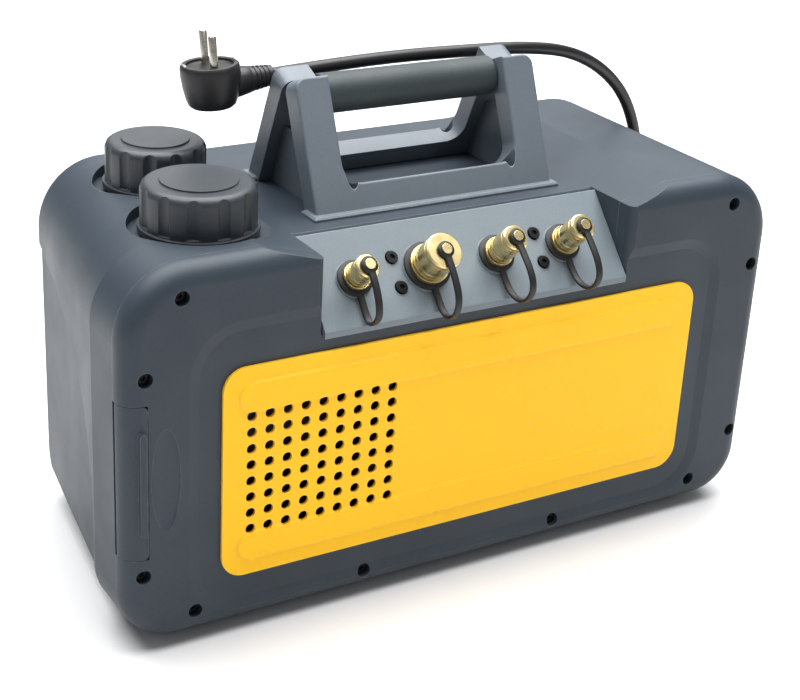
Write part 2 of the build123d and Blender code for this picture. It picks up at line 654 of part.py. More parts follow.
def suction_pipe():
    """Copper pipe from the manifold to the top of the pump."""
    start = pipe_start()
    out = start - port_place(PIPE_X).z_dir * 30
    path = FilletPolyline(start, out, (PIPE_X, shaft_y, out.Z - 8), (PIPE_X, shaft_y, SHAFT_Z + PUMP_R - 4),
                          radius=12)
    return sweep(Plane(path @ 0, z_dir=path % 0) * Circle(PIPE_R), path=path)


# ---------------------------------------------------------------- oil system
def oil_cap(radius):
    """Fluted screw cap with a plain skirt and a flat disc on top."""
    cap = rod(radius - 1.5, CAP_BASE_Z, CAP_TOP_Z - 1)
    cap = fillet(cap.edges().group_by(Axis.Z)[-1], 5)
    flute = Pos(radius + 2.2, 0, CAP_BASE_Z + 4) * rod(5.5, 0, 40)
    for i in range(FLUTES):
        cap -= Rot(0, 0, 360 / FLUTES * i) * flute
    cap += rod(radius, CAP_BASE_Z, CAP_BASE_Z + 3)
    cap += rod(radius * 0.64, CAP_TOP_Z - 3, CAP_TOP_Z)
    cap -= rod(NECK_R + OIL_THREAD_CLEAR, CAP_BASE_Z - 1, NECK_TOP_Z + OIL_SEAL_T + FIT)
    hollow = rod(radius - 8, CAP_BASE_Z - 1, NECK_TOP_Z + 4) - rod(NECK_R + 4, 0, 300)
    return cap - hollow


def oil_seal():
    """Seal that lies on the neck's rim, with a short stopper inside the neck."""
    seal = rod(NECK_R - 0.5, NECK_TOP_Z, NECK_TOP_Z + OIL_SEAL_T)
    return seal + rod(NECK_R - NECK_WALL - GAP, NECK_TOP_Z - 5, NECK_TOP_Z + 1)


def oil_tank(radius):
    """Hollow tank hung under a well, with its filler neck through the well's floor."""
    top = WELL_Z - WALL
    tank = block(-TANK_HALF_X, TANK_HALF_X, -radius - 1, radius + 1, TANK_Z0, top)
    tank = fillet(tank.edges().filter_by(Axis.Z), 6)
    tank -= block(-TANK_HALF_X + 2.5, TANK_HALF_X - 2.5, -radius + 1.5, radius - 1.5, TANK_Z0 + 2.5, top - 2.5)
    tank += rod(NECK_R, top - 1, NECK_TOP_Z)
    return tank - rod(NECK_R - NECK_WALL, top - 5, NECK_TOP_Z + 1)


# ---------------------------------------------------------------- handle
def handle_screw_places():
    """X and Y of the screws that hold the handle's frames to the deck."""
    reach = HANDLE_BASE_HALF_D - HANDLE_FRAME_T / 2 - 3
    return [(HANDLE_X + sx * 55, handle_y + sy * reach) for sx in (-1, 1) for sy in (-1, 1)]


def handle_frame():
    """Front U frame, leaning back to the middle plane of the handle."""
    height = (HANDLE_TOP_Z - DECK_Z) / math.cos(lean)
    over = 20.0
    outline = Pos(0, (height - over) / 2) * Rectangle(2 * HANDLE_HALF_W, height + over)
    outline = fillet(outline.vertices().group_by(Axis.Y)[-1], 7)
    hand = Pos(0, HANDLE_RAIL_H + 50)
    hand = hand * Rectangle(2 * (HANDLE_HALF_W - HANDLE_POST_W), 100)
    hand = fillet(hand.vertices().group_by(Axis.Y)[0], 12)
    frame = along_y(outline - hand, 0, HANDLE_FRAME_T)
    frame = fillet(frame.edges().filter_by_position(Axis.Y, 0, 0), 1.5)
    frame = Pos(HANDLE_X, handle_y - HANDLE_BASE_HALF_D, DECK_Z) * Rot(-HANDLE_LEAN, 0, 0) * frame
    reach = HANDLE_HALF_W + HANDLE_FOOT_OUT
    foot = block(HANDLE_X - reach, HANDLE_X + reach, handle_y - HANDLE_BASE_HALF_D - HANDLE_FOOT_OUT,
                 handle_y - HANDLE_BASE_HALF_D + HANDLE_FRAME_T, DECK_Z, DECK_Z + HANDLE_FOOT_H)
    frame += chamfer(foot.edges().group_by(Axis.Z)[-1], 1.2)
    frame &= block(-BODY_W, BODY_W, FRONT_Y, handle_y - GAP / 2, DECK_Z, HANDLE_TOP_Z)
    frame -= rod_x(GRIP_TENON_R + FIT, HANDLE_X - grip_half() - GRIP_TENON_L - 1,
                   HANDLE_X + grip_half() + GRIP_TENON_L + 1, handle_y, GRIP_Z)
    for x, y in handle_screw_places():
        frame -= Pos(x, y, DECK_Z) * rod(SCREW_R + GAP, -1, 9)
        frame -= Pos(x, y, DECK_Z + HANDLE_SEAT) * rod(SCREW_HEAD_R + 0.6, 0, 40)
    return frame


def grip_half():
    return HANDLE_HALF_W - HANDLE_POST_W - GAP


def handle_web(side):
    """Panel that closes one end of the handle between its two frames."""
    rise = GRIP_Z - GRIP_R - 10 - DECK_Z
    run = math.tan(lean)
    inner = HANDLE_BASE_HALF_D - HANDLE_FRAME_T / math.cos(lean) - GAP
    front = inner + 5
    outline = Polyline((-front, 0), (inner, 0), (inner - rise * run, rise), (-front + rise * run, rise),
                       close=True)
    x = HANDLE_X + side * (HANDLE_HALF_W - HANDLE_POST_W / 2) - WEB_T / 2
    return Pos(x, handle_y, DECK_Z) * extrude(Plane.YZ * make_face(outline), WEB_T)


def handle_grip():
    """Round grip with a tenon into the posts at each end."""
    half = grip_half()
    grip = rod_x(GRIP_R, HANDLE_X - half, HANDLE_X + half, handle_y, GRIP_Z)
    grip = fillet(grip.edges().filter_by(GeomType.CIRCLE), 1.5)
    return grip + rod_x(GRIP_TENON_R, HANDLE_X - half - GRIP_TENON_L, HANDLE_X + half + GRIP_TENON_L,
                        handle_y, GRIP_Z)


def rear_handle_frame():
    """Rear U frame, with the two clips that hold the cord behind the posts."""
    mirrored = Plane.XZ.offset(-handle_y)
    frame = mirror(handle_frame(), about=mirrored)
    for side in (-1, 1):
        x = HANDLE_X + side * (HANDLE_HALF_W - HANDLE_POST_W / 2)
        clip = block(x - CLIP_W / 2, x + CLIP_W / 2, handle_y + 10, clip_y + CLIP_R + 1.6,
                     CLIP_Z - CLIP_R - 2.5, CLIP_Z)
        frame += clip - rod_x(CLIP_R, x - CLIP_W, x + CLIP_W, clip_y, CLIP_Z)
    return frame


# ---------------------------------------------------------------- motor and pump
def base_plate():
    plate = block(BASE_X0, BASE_X1, shaft_y - BASE_HALF_D, shaft_y + BASE_HALF_D,
                  FOOT_H + WALL, FOOT_H + WALL + BASE_T)
    return fillet(plate.edges().filter_by(Axis.Z), 8)


def pedestal(x0, x1, half):
    """Foot under a round machine, up to the shaft's height."""
    return block(x0, x1, shaft_y - half, shaft_y + half, FOOT_H + WALL + BASE_T, SHAFT_Z)


def motor_housing():
    """Finned motor tube on its foot, with a flat for the control board."""
    x0, x1 = MOTOR_X0, MOTOR_X0 + MOTOR_L
    body = rod_x(MOTOR_R, x0, x1, shaft_y, SHAFT_Z) + pedestal(x0 + 20, x1 - 20, 38)
    body += block(x0 + 25, x1 - 25, shaft_y - 26, shaft_y + 26, SHAFT_Z, SHAFT_Z + MOTOR_R + 4)
    for i in range(MOTOR_FINS):
        z = SHAFT_Z - 40 + i * 80 / (MOTOR_FINS - 1)
        body += block(x0 + 6, x1 - 6, shaft_y - MOTOR_R - 5, shaft_y + MOTOR_R + 5, z - 1.2, z + 1.2)
    return body - rod_x(MOTOR_R - MOTOR_WALL, x0 - 1, x1 + 1, shaft_y, SHAFT_Z)


def motor_stator():
    x0, x1 = MOTOR_X0 + 24, MOTOR_X0 + MOTOR_L - 24
    ring = rod_x(MOTOR_R - MOTOR_WALL - FIT, x0, x1, shaft_y, SHAFT_Z)
    return ring - rod_x(ROTOR_R + AIR_GAP, x0 - 1, x1 + 1, shaft_y, SHAFT_Z)


def motor_rotor():
    """Rotor core on the shaft that drives the pump and the fan."""
    core = rod_x(ROTOR_R, MOTOR_X0 + 24, MOTOR_X0 + MOTOR_L - 24, shaft_y, SHAFT_Z)
    end = MOTOR_X0 + MOTOR_L + FAN_X + FAN_T + 3
    return core + rod_x(SHAFT_R, PUMP_X0 - END_PLATE_T - 4, end, shaft_y, SHAFT_Z)


def end_bells():
    """Two end bells, each with a bearing seat."""
    bells = []
    for x0 in (MOTOR_X0 - BELL_T, MOTOR_X0 + MOTOR_L):
        bell = rod_x(MOTOR_R, x0, x0 + BELL_T, shaft_y, SHAFT_Z)
        bells.append(bell - rod_x(BEARING_R + FIT, x0 - 1, x0 + BELL_T + 1, shaft_y, SHAFT_Z))
    return Compound(bells)


def motor_bearings():
    rings = []
    for x0 in (MOTOR_X0 - BELL_T, MOTOR_X0 + MOTOR_L):
        ring = rod_x(BEARING_R, x0, x0 + BELL_T, shaft_y, SHAFT_Z)
        rings.append(ring - rod_x(SHAFT_R + FIT, x0 - 1, x0 + BELL_T + 1, shaft_y, SHAFT_Z))
    return Compound(rings)


def cooling_fan():
    """Axial fan on the end of the motor shaft."""
    x0 = MOTOR_X0 + MOTOR_L + FAN_X
    fan = rod_x(SHAFT_R + 8, x0, x0 + FAN_T, 0, 0)
    blade = Pos(x0 + FAN_T / 2, 0, 30) * Rot(0, 0, 35) * Box(2, FAN_T, 40)
    for i in range(FAN_BLADES):
        fan += Rot(360 / FAN_BLADES * i, 0, 0) * blade
    fan -= rod_x(SHAFT_R + FIT, x0 - 5, x0 + FAN_T + 5, 0, 0)
    return Pos(0, shaft_y, SHAFT_Z) * fan


def pump_cylinder():
    """Pump stator: its bore is set above the shaft's axis."""
    x1 = PUMP_X0 + PUMP_L
    body = rod_x(PUMP_R, PUMP_X0, x1, shaft_y, SHAFT_Z) + pedestal(PUMP_X0, x1, 30)
    body -= rod_x(PUMP_BORE_R, PUMP_X0 - 1, x1 + 1, shaft_y, SHAFT_Z + PUMP_OFFSET)
    return body - Pos(PIPE_X, shaft_y, SHAFT_Z + PUMP_R - 4) * rod(PIPE_R + FIT, 0, 20)


def pump_covers():
    """End plates of the pump, bored for the shaft."""
    covers = []
    for x0 in (PUMP_X0 - END_PLATE_T, PUMP_X0 + PUMP_L):
        cover = rod_x(PUMP_R, x0, x0 + END_PLATE_T, shaft_y, SHAFT_Z)
        covers.append(cover - rod_x(SHAFT_R + FIT, x0 - 1, x0 + END_PLATE_T + 1, shaft_y, SHAFT_Z))
    return Compound(covers)


def pump_rotor():
    """Rotor on the shaft, slotted for two vanes."""
    x0, x1 = PUMP_X0 + FIT, PUMP_X0 + PUMP_L - FIT
    rotor = rod_x(PUMP_ROTOR_R, x0, x1, shaft_y, SHAFT_Z)
    rotor -= rod_x(SHAFT_R + FIT, x0 - 1, x1 + 1, shaft_y, SHAFT_Z)
    half = VANE_T / 2 + FIT
    deep = PUMP_ROTOR_R - VANE_H - 1
    for side in (-1, 1):
        near, far = sorted((shaft_y + side * deep, shaft_y + side * (PUMP_ROTOR_R + 5)))
        rotor -= block(x0 - 1, x1 + 1, near, far, SHAFT_Z - half, SHAFT_Z + half)
    return rotor


def pump_vane(side):
    near = PUMP_ROTOR_R - VANE_H - 0.4
    y0, y1 = sorted((shaft_y + side * near, shaft_y + side * (near + VANE_H)))
    return block(PUMP_X0 + 2 * FIT, PUMP_X0 + PUMP_L - 2 * FIT, y0, y1, SHAFT_Z - VANE_T / 2,
                 SHAFT_Z + VANE_T / 2)


def control_board():
    """Board with its larger components, on the motor's flat."""
    z = SHAFT_Z + MOTOR_R + 4
    x0, x1 = MOTOR_X0 + 15, MOTOR_X0 + MOTOR_L - 15
    board = block(x0, x1, shaft_y - 35, shaft_y + 35, z, z + 1.6)
    board += Pos(x0 + 20, shaft_y - 15, z + 1) * rod(9, 0, 24)
    board += block(x0 + 40, x0 + 64, shaft_y - 28, shaft_y - 4, z + 1, z + 18)
    return board + block(x1 - 26, x1 - 6, shaft_y, shaft_y + 28, z + 1, z + 14)


# ---------------------------------------------------------------- feet, fasteners, switch
def feet():
    """Rubber feet with a stud into the case's floor."""
    foot = fillet(rod(FOOT_R, 0, FOOT_H).edges().group_by(Axis.Z)[0], 1.5)
    middle = (FRONT_Y + REAR_Y) / 2
    places = [(sx * FOOT_X, middle + sy * FOOT_Y) for sx in (-1, 1) for sy in (-1, 1)]
    return Compound([Pos(x, y, 0) * foot for x, y in places])


def screw(length):
    """Pan-head screw along local Z, its head's seat at zero."""
    head = rod(SCREW_HEAD_R, 0, SCREW_HEAD_H) - Pos(0, 0, SCREW_HEAD_H - 1.4) * extrude(
        RegularPolygon(1.8, 6), 3)
    return head + rod(SCREW_R - FIT, -length, 0.5)


def screws():
    """All the case's screws: front cover, port panel and handle."""
    group = []
    for x, z in cover_screw_places():
        group.append(Pos(x, FRONT_Y + SCREW_SEAT, z) * Rot(90, 0, 0) * screw(SPLIT_DEPTH + 8))
    for x, up in port_screw_places():
        group.append(port_place(x, up) * Pos(0, 0, -1.2) * screw(PORT_SCREW_L))
    for x, y in handle_screw_places():
        group.append(Pos(x, y, DECK_Z + HANDLE_SEAT) * screw(HANDLE_SEAT + WALL))
    return Compound(group)


def gland_y():
    return FRONT_Y + SERVICE_Y + GLAND_ASIDE


def switch_y():
    return FRONT_Y + SERVICE_Y


def switch_bezel():
    """Frame of the power switch, through the pocket's floor."""
    x = BODY_W / 2 - SERVICE_DEPTH
    y0, y1 = switch_y() - SWITCH_W / 2, switch_y() + SWITCH_W / 2
    z0, z1 = SWITCH_Z - SWITCH_H / 2, SWITCH_Z + SWITCH_H / 2
    bezel = block(x - 18, x + 1, y0, y1, z0, z1) + block(x, x + 1.6, y0 - 2, y1 + 2, z0 - 2, z1 + 2)
    return bezel - block(x - 14, x + 5, y0 + 2, y1 - 2, z0 + 2, z1 - 2)


def switch_rocker():
    """Rocker key, turning about Y."""
    x = BODY_W / 2 - SERVICE_DEPTH
    half_w, half_h = SWITCH_W / 2 - 2 - GAP, SWITCH_H / 2 - 3
    outline = Polyline((x - 4, SWITCH_Z - half_h), (x + 3.4, SWITCH_Z - half_h), (x + 1.4, SWITCH_Z),
                       (x + 3.4, SWITCH_Z + half_h), (x - 4, SWITCH_Z + half_h), close=True)
    return along_y(make_face(outline), switch_y() - half_w, switch_y() + half_w)


# ---------------------------------------------------------------- power cord
def cable_gland():
    """Gland in the service pocket that grips the cord."""
    x = BODY_W / 2 - SERVICE_DEPTH
    gland = rod_x(GLAND_R, x - 12, x + 1, gland_y(), GLAND_Z)
    gland += rod_x(GLAND_R + 3, x, x + 6, gland_y(), GLAND_Z)
    boot = Pos(x + 6, gland_y(), GLAND_Z) * Rot(0, 90, 0) * Cone(
        GLAND_R, cord_r + 2, GLAND_L - 6, align=(Align.CENTER, Align.CENTER, Align.MIN))
    return gland + boot


def gland_end():
    return (BODY_W / 2 - SERVICE_DEPTH + GLAND_L, gland_y(), GLAND_Z)


def from_front(points):
    """Points whose Y is counted from the front face, in the part's frame."""
    return [(x, FRONT_Y + y, z) for x, y, z in points]


def cord_path(points):
    """Straight runs joined by tangent arcs, each as large as its two runs allow."""
    vectors = [Vector(*p) for p in points]
    radii = []
    for before, here, after in zip(vectors, vectors[1:], vectors[2:]):
        turn = math.radians((here - before).get_angle(after - here))
        shorter = min((here - before).length, (after - here).length)
        radii.append(0.45 * shorter / math.tan(turn / 2))
    runs = [(b - a).length for a, b in zip(vectors, vectors[1:])]
    print("cord runs", [round(r) for r in runs], "radii", [round(r) for r in radii])
    return FilletPolyline(*vectors, radius=radii)


def cord_tube(points):
    path = cord_path(points)
    tube = sweep(Plane(path @ 0, z_dir=path % 0) * Circle(cord_r), path=path)
    ratio = tube.volume / (math.pi * cord_r ** 2 * path.length)
    print("cord length", round(path.length, 1), "volume ratio", round(ratio, 4))
    return tube


def cord_coil():
    """Outer form of the coiled cord."""
    print("coiled length", round(COIL_TURNS * 2 * math.pi * COIL_R))
    return Pos(COIL_X, FRONT_Y + COIL_Y, COIL_Z) * Torus(COIL_R, BUNDLE_R)


def cord_tie():
    """Tie round the coil."""
    place = Pos(COIL_X, FRONT_Y + COIL_Y + COIL_R, COIL_Z) * Rot(0, 90, 0)
    ring = Cylinder(BUNDLE_R + TIE_T, TIE_W) - Cylinder(BUNDLE_R + GAP, TIE_W + 2)
    return place * ring


def plug_place():
    return Pos(PLUG_X, FRONT_Y + PLUG_Y, PLUG_Z) * Rot(-PLUG_TILT, 0, 0)


def plug_body():
    """Angled plug: a round body with its cord boot at the side."""
    body = rod(PLUG_R, -PLUG_H / 2, PLUG_H / 2)
    body = plug_place() * fillet(body.edges().filter_by(GeomType.CIRCLE), 3)
    start = PLUG_X + PLUG_R - 6
    body += rod_x(8.5, start, start + 12, FRONT_Y + PLUG_Y, PLUG_BOOT_Z)
    boot = Pos(start + 12, FRONT_Y + PLUG_Y, PLUG_BOOT_Z) * Rot(0, 90, 0) * Cone(
        7.5, cord_r + 1.2, PLUG_BOOT_X - start - 12, align=(Align.CENTER, Align.CENTER, Align.MIN))
    return body + boot


def plug_pins():
    """Two round pins, 19 mm apart."""
    pin = fillet(rod(2.4, PLUG_H / 2, PLUG_H / 2 + 19).edges().group_by(Axis.Z)[-1], 1.2)
    places = [plug_place() * Rot(0, 0, PIN_TURN) * Pos(side * 9.5, 0, 0) for side in (-1, 1)]
    return Compound([place * pin for place in places])


# ---------------------------------------------------------------- assembly
def build():
    outer = case_skin(0)
    shell = outer - case_skin(WALL)
    parts = {
        "front_cover": front_cover(outer, shell),
        "main_housing": main_housing(outer, shell),
        "front_panel": front_panel(),
        "port_panel": port_panel(),
        "corner_door": corner_door(outer),
        "door_hinge_pin": hinge_pin(),
        "valve_bay": valve_bay(),
        "drain_valve": drain_valve(),
        "drain_lever": drain_lever(),
        "handle_front_frame": handle_frame() + [handle_web(-1), handle_web(1)],
        "handle_rear_frame": rear_handle_frame(),
        "handle_grip": handle_grip(),
        "manifold_block": manifold_block(),
        "suction_pipe": suction_pipe(),
        "base_plate": base_plate(),
        "motor_housing": motor_housing(),
        "motor_stator": motor_stator(),
        "motor_rotor": motor_rotor(),
        "motor_end_bells": end_bells(),
        "motor_bearings": motor_bearings(),
        "cooling_fan": cooling_fan(),
        "pump_cylinder": pump_cylinder(),
        "pump_covers": pump_covers(),
        "pump_rotor": pump_rotor(),
        "pump_vane_front": pump_vane(-1),
        "pump_vane_rear": pump_vane(1),
        "control_board": control_board(),
        "feet": feet(),
        "screws": screws(),
        "switch_bezel": switch_bezel(),
        "switch_rocker": switch_rocker(),
        "cable_gland": cable_gland(),
        "cord_lead": cord_tube([gland_end()] + from_front(CORD_LEAD)),
        "cord_run": cord_tube(from_front(CORD_RUN)),
        "cord_coil": cord_coil(),
        "cord_tie": cord_tie(),
        "plug_body": plug_body(),
        "plug_pins": plug_pins(),
    }
    for name, (x, y, radius) in OIL_CAPS.items():
        place = Pos(x, FRONT_Y + y, 0)
        parts[f"{name}_oil_cap"] = place * oil_cap(radius)
        parts[f"{name}_oil_seal"] = place * oil_seal()
        parts[f"{name}_oil_tank"] = place * oil_tank(radius)
    for x, (name, thread, bore, cap_end) in zip(port_xs, PORTS):
        place = port_place(x)
        parts[f"port_fitting_{name}"] = place * port_fitting(thread, bore, cap_end)
        parts[f"port_cap_{name}"] = place * port_cap(thread, cap_end)
        parts[f"port_seal_{name}"] = place * port_seal(thread, cap_end)
        parts[f"port_strap_{name}"] = place * port_strap(thread, cap_end)
    return parts


if __name__ == "__main__":
    os.makedirs("parts", exist_ok=True)
    for node, shape in build().items():
        export_step(shape, f"parts/{node}.step")
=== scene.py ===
# %% [markdown]
# # A vacuum pump in its carry case
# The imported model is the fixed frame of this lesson. Every part that it already shapes well stays
# and gets a real finish. The soft and flexible parts are built again around it: the mains cord,
# its plug and boots, the rubber straps of the port caps, and the tie round the coiled cord.

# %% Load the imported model
import json
import math

import bmesh
import bpy
from mathutils import Matrix, Vector


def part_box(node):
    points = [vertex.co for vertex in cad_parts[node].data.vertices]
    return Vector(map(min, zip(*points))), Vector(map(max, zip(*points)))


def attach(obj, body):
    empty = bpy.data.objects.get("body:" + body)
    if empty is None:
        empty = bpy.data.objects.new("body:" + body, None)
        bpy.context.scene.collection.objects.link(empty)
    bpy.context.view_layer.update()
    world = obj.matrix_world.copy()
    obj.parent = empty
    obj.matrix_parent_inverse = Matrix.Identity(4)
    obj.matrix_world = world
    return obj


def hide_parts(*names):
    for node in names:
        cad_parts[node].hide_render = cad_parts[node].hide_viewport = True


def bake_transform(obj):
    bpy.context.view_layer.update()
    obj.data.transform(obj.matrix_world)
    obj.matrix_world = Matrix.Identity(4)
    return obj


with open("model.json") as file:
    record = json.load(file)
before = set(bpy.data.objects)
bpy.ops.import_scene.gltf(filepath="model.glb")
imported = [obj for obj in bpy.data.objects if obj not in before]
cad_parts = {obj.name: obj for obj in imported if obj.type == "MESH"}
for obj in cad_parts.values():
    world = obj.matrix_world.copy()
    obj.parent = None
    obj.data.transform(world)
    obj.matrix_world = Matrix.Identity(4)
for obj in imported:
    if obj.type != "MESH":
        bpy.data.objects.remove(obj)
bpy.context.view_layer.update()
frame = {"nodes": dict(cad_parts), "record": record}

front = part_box("front_cover")[0].y        # the case's front face
print("nodes", len(frame["nodes"]), "front face at y", round(front, 4))

# %% [markdown]
# ## The camera
# It stands to the left of the pump and above it, about a metre away, with a long lens, so that
# the case keeps nearly straight edges. Its place is counted from the front face, and its three
# angles are a turn about the vertical, a tilt down from level, and a slight roll about its view.

# %% Place the camera
LENS_MM = 77.97
SENSOR_MM = 36.0
CAMERA_AT = Vector((-0.5311, front - 0.75745, 0.5631))
TURN, TILT, ROLL = math.radians(-32.28), math.radians(65.76), math.radians(3.2)

camera = bpy.data.objects.new("camera", bpy.data.cameras.new("camera"))
bpy.context.scene.collection.objects.link(camera)
camera.data.lens, camera.data.sensor_width = LENS_MM, SENSOR_MM
camera.matrix_world = (Matrix.Translation(CAMERA_AT) @ Matrix.Rotation(TURN, 4, "Z")
                       @ Matrix.Rotation(TILT, 4, "X") @ Matrix.Rotation(ROLL, 4, "Z"))
bpy.context.scene.camera = camera
looks_along = camera.matrix_world.to_3x3() @ Vector((0, 0, -1))
print("camera looks along", [round(v, 4) for v in looks_along])

# %% [markdown]
# ## The mains cord's route
# A mains cord is copper strands in a black sheath, 8 mm thick. It leaves a gland in the right end
# of the case, drops to the floor, lies in a tied coil, then climbs behind the case and through two
# clips on the handle to its plug. It could be a swept tube, but a NURBS curve with one control
# point per bend gives the easy line that a stiff sheath takes by itself.

# %% Lay out the route's points
MM = 0.001
CORD_D = 8 * MM


def from_front(points):
    """Points in millimetres, with Y counted from the front face, as places in metres."""
    return [Vector((x * MM, front + y * MM, z * MM)) for x, y, z in points]


GLAND_END = (237, 166, 62)
LEAD = [(262, 168, 61), (286, 171, 51), (306, 178, 37), (324, 189, 24)]
RUN = [(252.5, 218, 14.5), (254, 207, 18), (257, 186, 25), (257, 166, 40), (253, 154, 64),
       (248, 150, 97), (242, 150, 131), (237, 151, 166), (230, 150, 200), (215, 147, 236),
       (189, 142, 262), (152, 134, 281), (110, 128, 289), (66, 126.5, 291), (16, 127, 292),
       (-34, 126.5, 291), (-79, 126.5, 288.6)]
print("route points outside the coil", 1 + len(LEAD) + len(RUN))

# %% [markdown]
# ## The coil
# The spare length is wound into a flat nest of turns, two beside each other and two deep, so the
# bundle stays neat under one tie. A loop adds the control points: the inner turns come first, on
# top and then below, and the outer turns follow, below and then on top. The pairs of angles say
# where the cord sinks to the floor, steps out and rises again.

# %% Wind the coil
COIL_AT = (300, 228)
COIL_START, COIL_END = -37.4, 1260.0      # degrees round the coil, all turns added up
COIL_STEPS = 58
INNER_R, OUTER_R = 40.0, 48.1             # two turns side by side, a cord apart
LOW_Z, HIGH_Z = 5.1, 13.2                 # and one above the other
SINK, STEP_OUT, RISE = (275, 315), (595, 635), (920, 955)
LEAD_LIFT = 2.6                           # the lead comes down onto the nest


def ramp(angle, start, end, low, high):
    """Low before start, high after end, and even between them."""
    share = min(max((angle - start) / (end - start), 0), 1)
    return low + share * (high - low)


coil = []
for step in range(COIL_STEPS + 1):
    angle = COIL_START + (COIL_END - COIL_START) * step / COIL_STEPS
    radius = ramp(angle, *STEP_OUT, INNER_R, OUTER_R)
    height = ramp(angle, *SINK, HIGH_Z, LOW_Z) + ramp(angle, *RISE, 0, HIGH_Z - LOW_Z)
    coil.append((COIL_AT[0] + radius * math.cos(math.radians(angle)),
                 COIL_AT[1] + radius * math.sin(math.radians(angle)), height))
coil[0] = (*coil[0][:2], HIGH_Z + LEAD_LIFT)
print("turns", round((COIL_END - COIL_START) / 360, 2))

# %% [markdown]
# ## The cord itself
# The whole route becomes one open spline with a round section. Its order is set after its points,
# because an order set on an empty spline falls back to straight runs.

# %% Draw the cord
route = from_front([GLAND_END] + LEAD + coil + RUN)
sheath = bpy.data.curves.new("power_cord", "CURVE")
sheath.dimensions = "3D"
sheath.bevel_depth, sheath.bevel_resolution, sheath.resolution_u = CORD_D / 2, 4, 6
sheath.use_fill_caps = True
line = sheath.splines.new("NURBS")
line.points.add(len(route) - 1)
for point, at in zip(line.points, route):
    point.co = (*at, 1)
line.order_u = 3
line.use_endpoint_u = True
power_cord = bpy.data.objects.new("power_cord", sheath)
bpy.context.scene.collection.objects.link(power_cord)
print("control points", len(line.points))

# %% [markdown]
# ## Colours and nodes
# Every finish below is a small tree of nodes: noise of a known width in millimetres, a range that
# turns noise into a property, and a mix of two colours. One helper turns a hex colour into what a
# shader wants, one adds any node with its links, and one starts a material.

# %% Helper for colours


def linear(colour):
    """An sRGB hex colour as the linear values that a shader wants."""
    parts = [int(colour[i:i + 2], 16) / 255 for i in (1, 3, 5)]
    return (*[v / 12.92 if v <= 0.04045 else ((v + 0.055) / 1.055) ** 2.4 for v in parts], 1.0)


print("mid grey is", round(linear("#808080")[0], 3))

# %% Helpers for nodes
SHARE, FIRST, SECOND, MIXED = 0, 6, 7, 2  # a colour Mix node's inputs, and its output
NOISE_LOW, NOISE_HIGH = 0.3, 0.7          # noise seldom leaves this range


def add(tree, kind, inputs=None, **settings):
    """Adds a node, with its settings, its input values and the links into it."""
    node = tree.nodes.new(kind)
    for name, value in settings.items():
        setattr(node, name, value)
    for name, value in (inputs or {}).items():
        if isinstance(value, bpy.types.NodeSocket):
            tree.links.new(value, node.inputs[name])
        else:
            node.inputs[name].default_value = value
    return node


def start_material(name, **constants):
    """A new material: itself, its nodes, its shader and the piece's own coordinates in metres."""
    material = bpy.data.materials.new(name)
    material.use_nodes = True
    tree = material.node_tree
    shader = tree.nodes["Principled BSDF"]
    for socket, value in constants.items():
        shader.inputs[socket.replace("_", " ")].default_value = value
    return material, tree, shader, add(tree, "ShaderNodeTexCoord").outputs["Object"]


print("helpers for nodes are ready")

# %% [markdown]
# ## Floor and light
# The pump is shown as a catalogue would show it, on pale paper that the light turns white. A large
# soft box overhead makes tops light and walls darker, and leaves a soft shadow under the case. Weak
# boxes on the left and in front fill the walls, and one behind puts a sheen on tops and edges.

# %% Roll out the floor
FLOOR_HALF = 9.0
PAPER_DRIFT = 0.3                         # metres over which the paper's tint drifts
paper = bmesh.new()
bmesh.ops.create_grid(paper, x_segments=4, y_segments=4, size=FLOOR_HALF)
floor_mesh = bpy.data.meshes.new("floor")
paper.to_mesh(floor_mesh)
paper.free()
floor = bpy.data.objects.new("floor", floor_mesh)
bpy.context.scene.collection.objects.link(floor)

# Uncoated white paper off a roll: no gloss, and a tint that is never quite even.
white_paper, tree, shader, place = start_material("white_paper", Roughness=0.9)
fibre = add(tree, "ShaderNodeTexNoise", {"Vector": place, "Scale": 1 / PAPER_DRIFT, "Detail": 3.0})
tint = add(tree, "ShaderNodeMix",
           {SHARE: fibre.outputs[0], FIRST: linear("#D9D9D9"), SECOND: linear("#DCDCDC")},
           data_type="RGBA")
tree.links.new(tint.outputs[MIXED], shader.inputs["Base Color"])
floor_mesh.materials.append(white_paper)
print("floor", 2 * FLOOR_HALF, "m square")

# %% Hang the lights
AIM = Vector((0, 0, 0.12))


def softbox(name, at, size, watts):
    """A rectangular area light that faces the pump."""
    light = bpy.data.lights.new(name, "AREA")
    light.shape, light.energy = "RECTANGLE", watts
    light.size, light.size_y = size
    lamp = bpy.data.objects.new(name, light)
    bpy.context.scene.collection.objects.link(lamp)
    facing = (AIM - Vector(at)).to_track_quat("-Z", "Y").to_matrix().to_4x4()
    lamp.matrix_world = Matrix.Translation(at) @ facing


# name, place, width and height in metres, watts
softbox("overhead_box", (0.1, 0.35, 2.3), (3.2, 2.6), 200)
softbox("left_box", (-2.1, 0.1, 1.1), (0.9, 1.6), 0.8)
softbox("front_box", (0.9, -2.3, 1.5), (1.4, 1.0), 4)
softbox("back_box", (1.3, 2.4, 1.35), (2.4, 1.4), 12)

# %% Fill the air with light
AIR_COLOUR, AIR_STRENGTH = "#F7FAFF", 0.28
world = bpy.data.worlds.new("studio")
world.use_nodes = True
bpy.context.scene.world = world
air = world.node_tree.nodes["Background"]
air.inputs["Color"].default_value = linear(AIR_COLOUR)
air.inputs["Strength"].default_value = AIR_STRENGTH
# The standard transform keeps strong yellow and white paper, which a film curve would dull.
bpy.context.scene.view_settings.view_transform = "Standard"

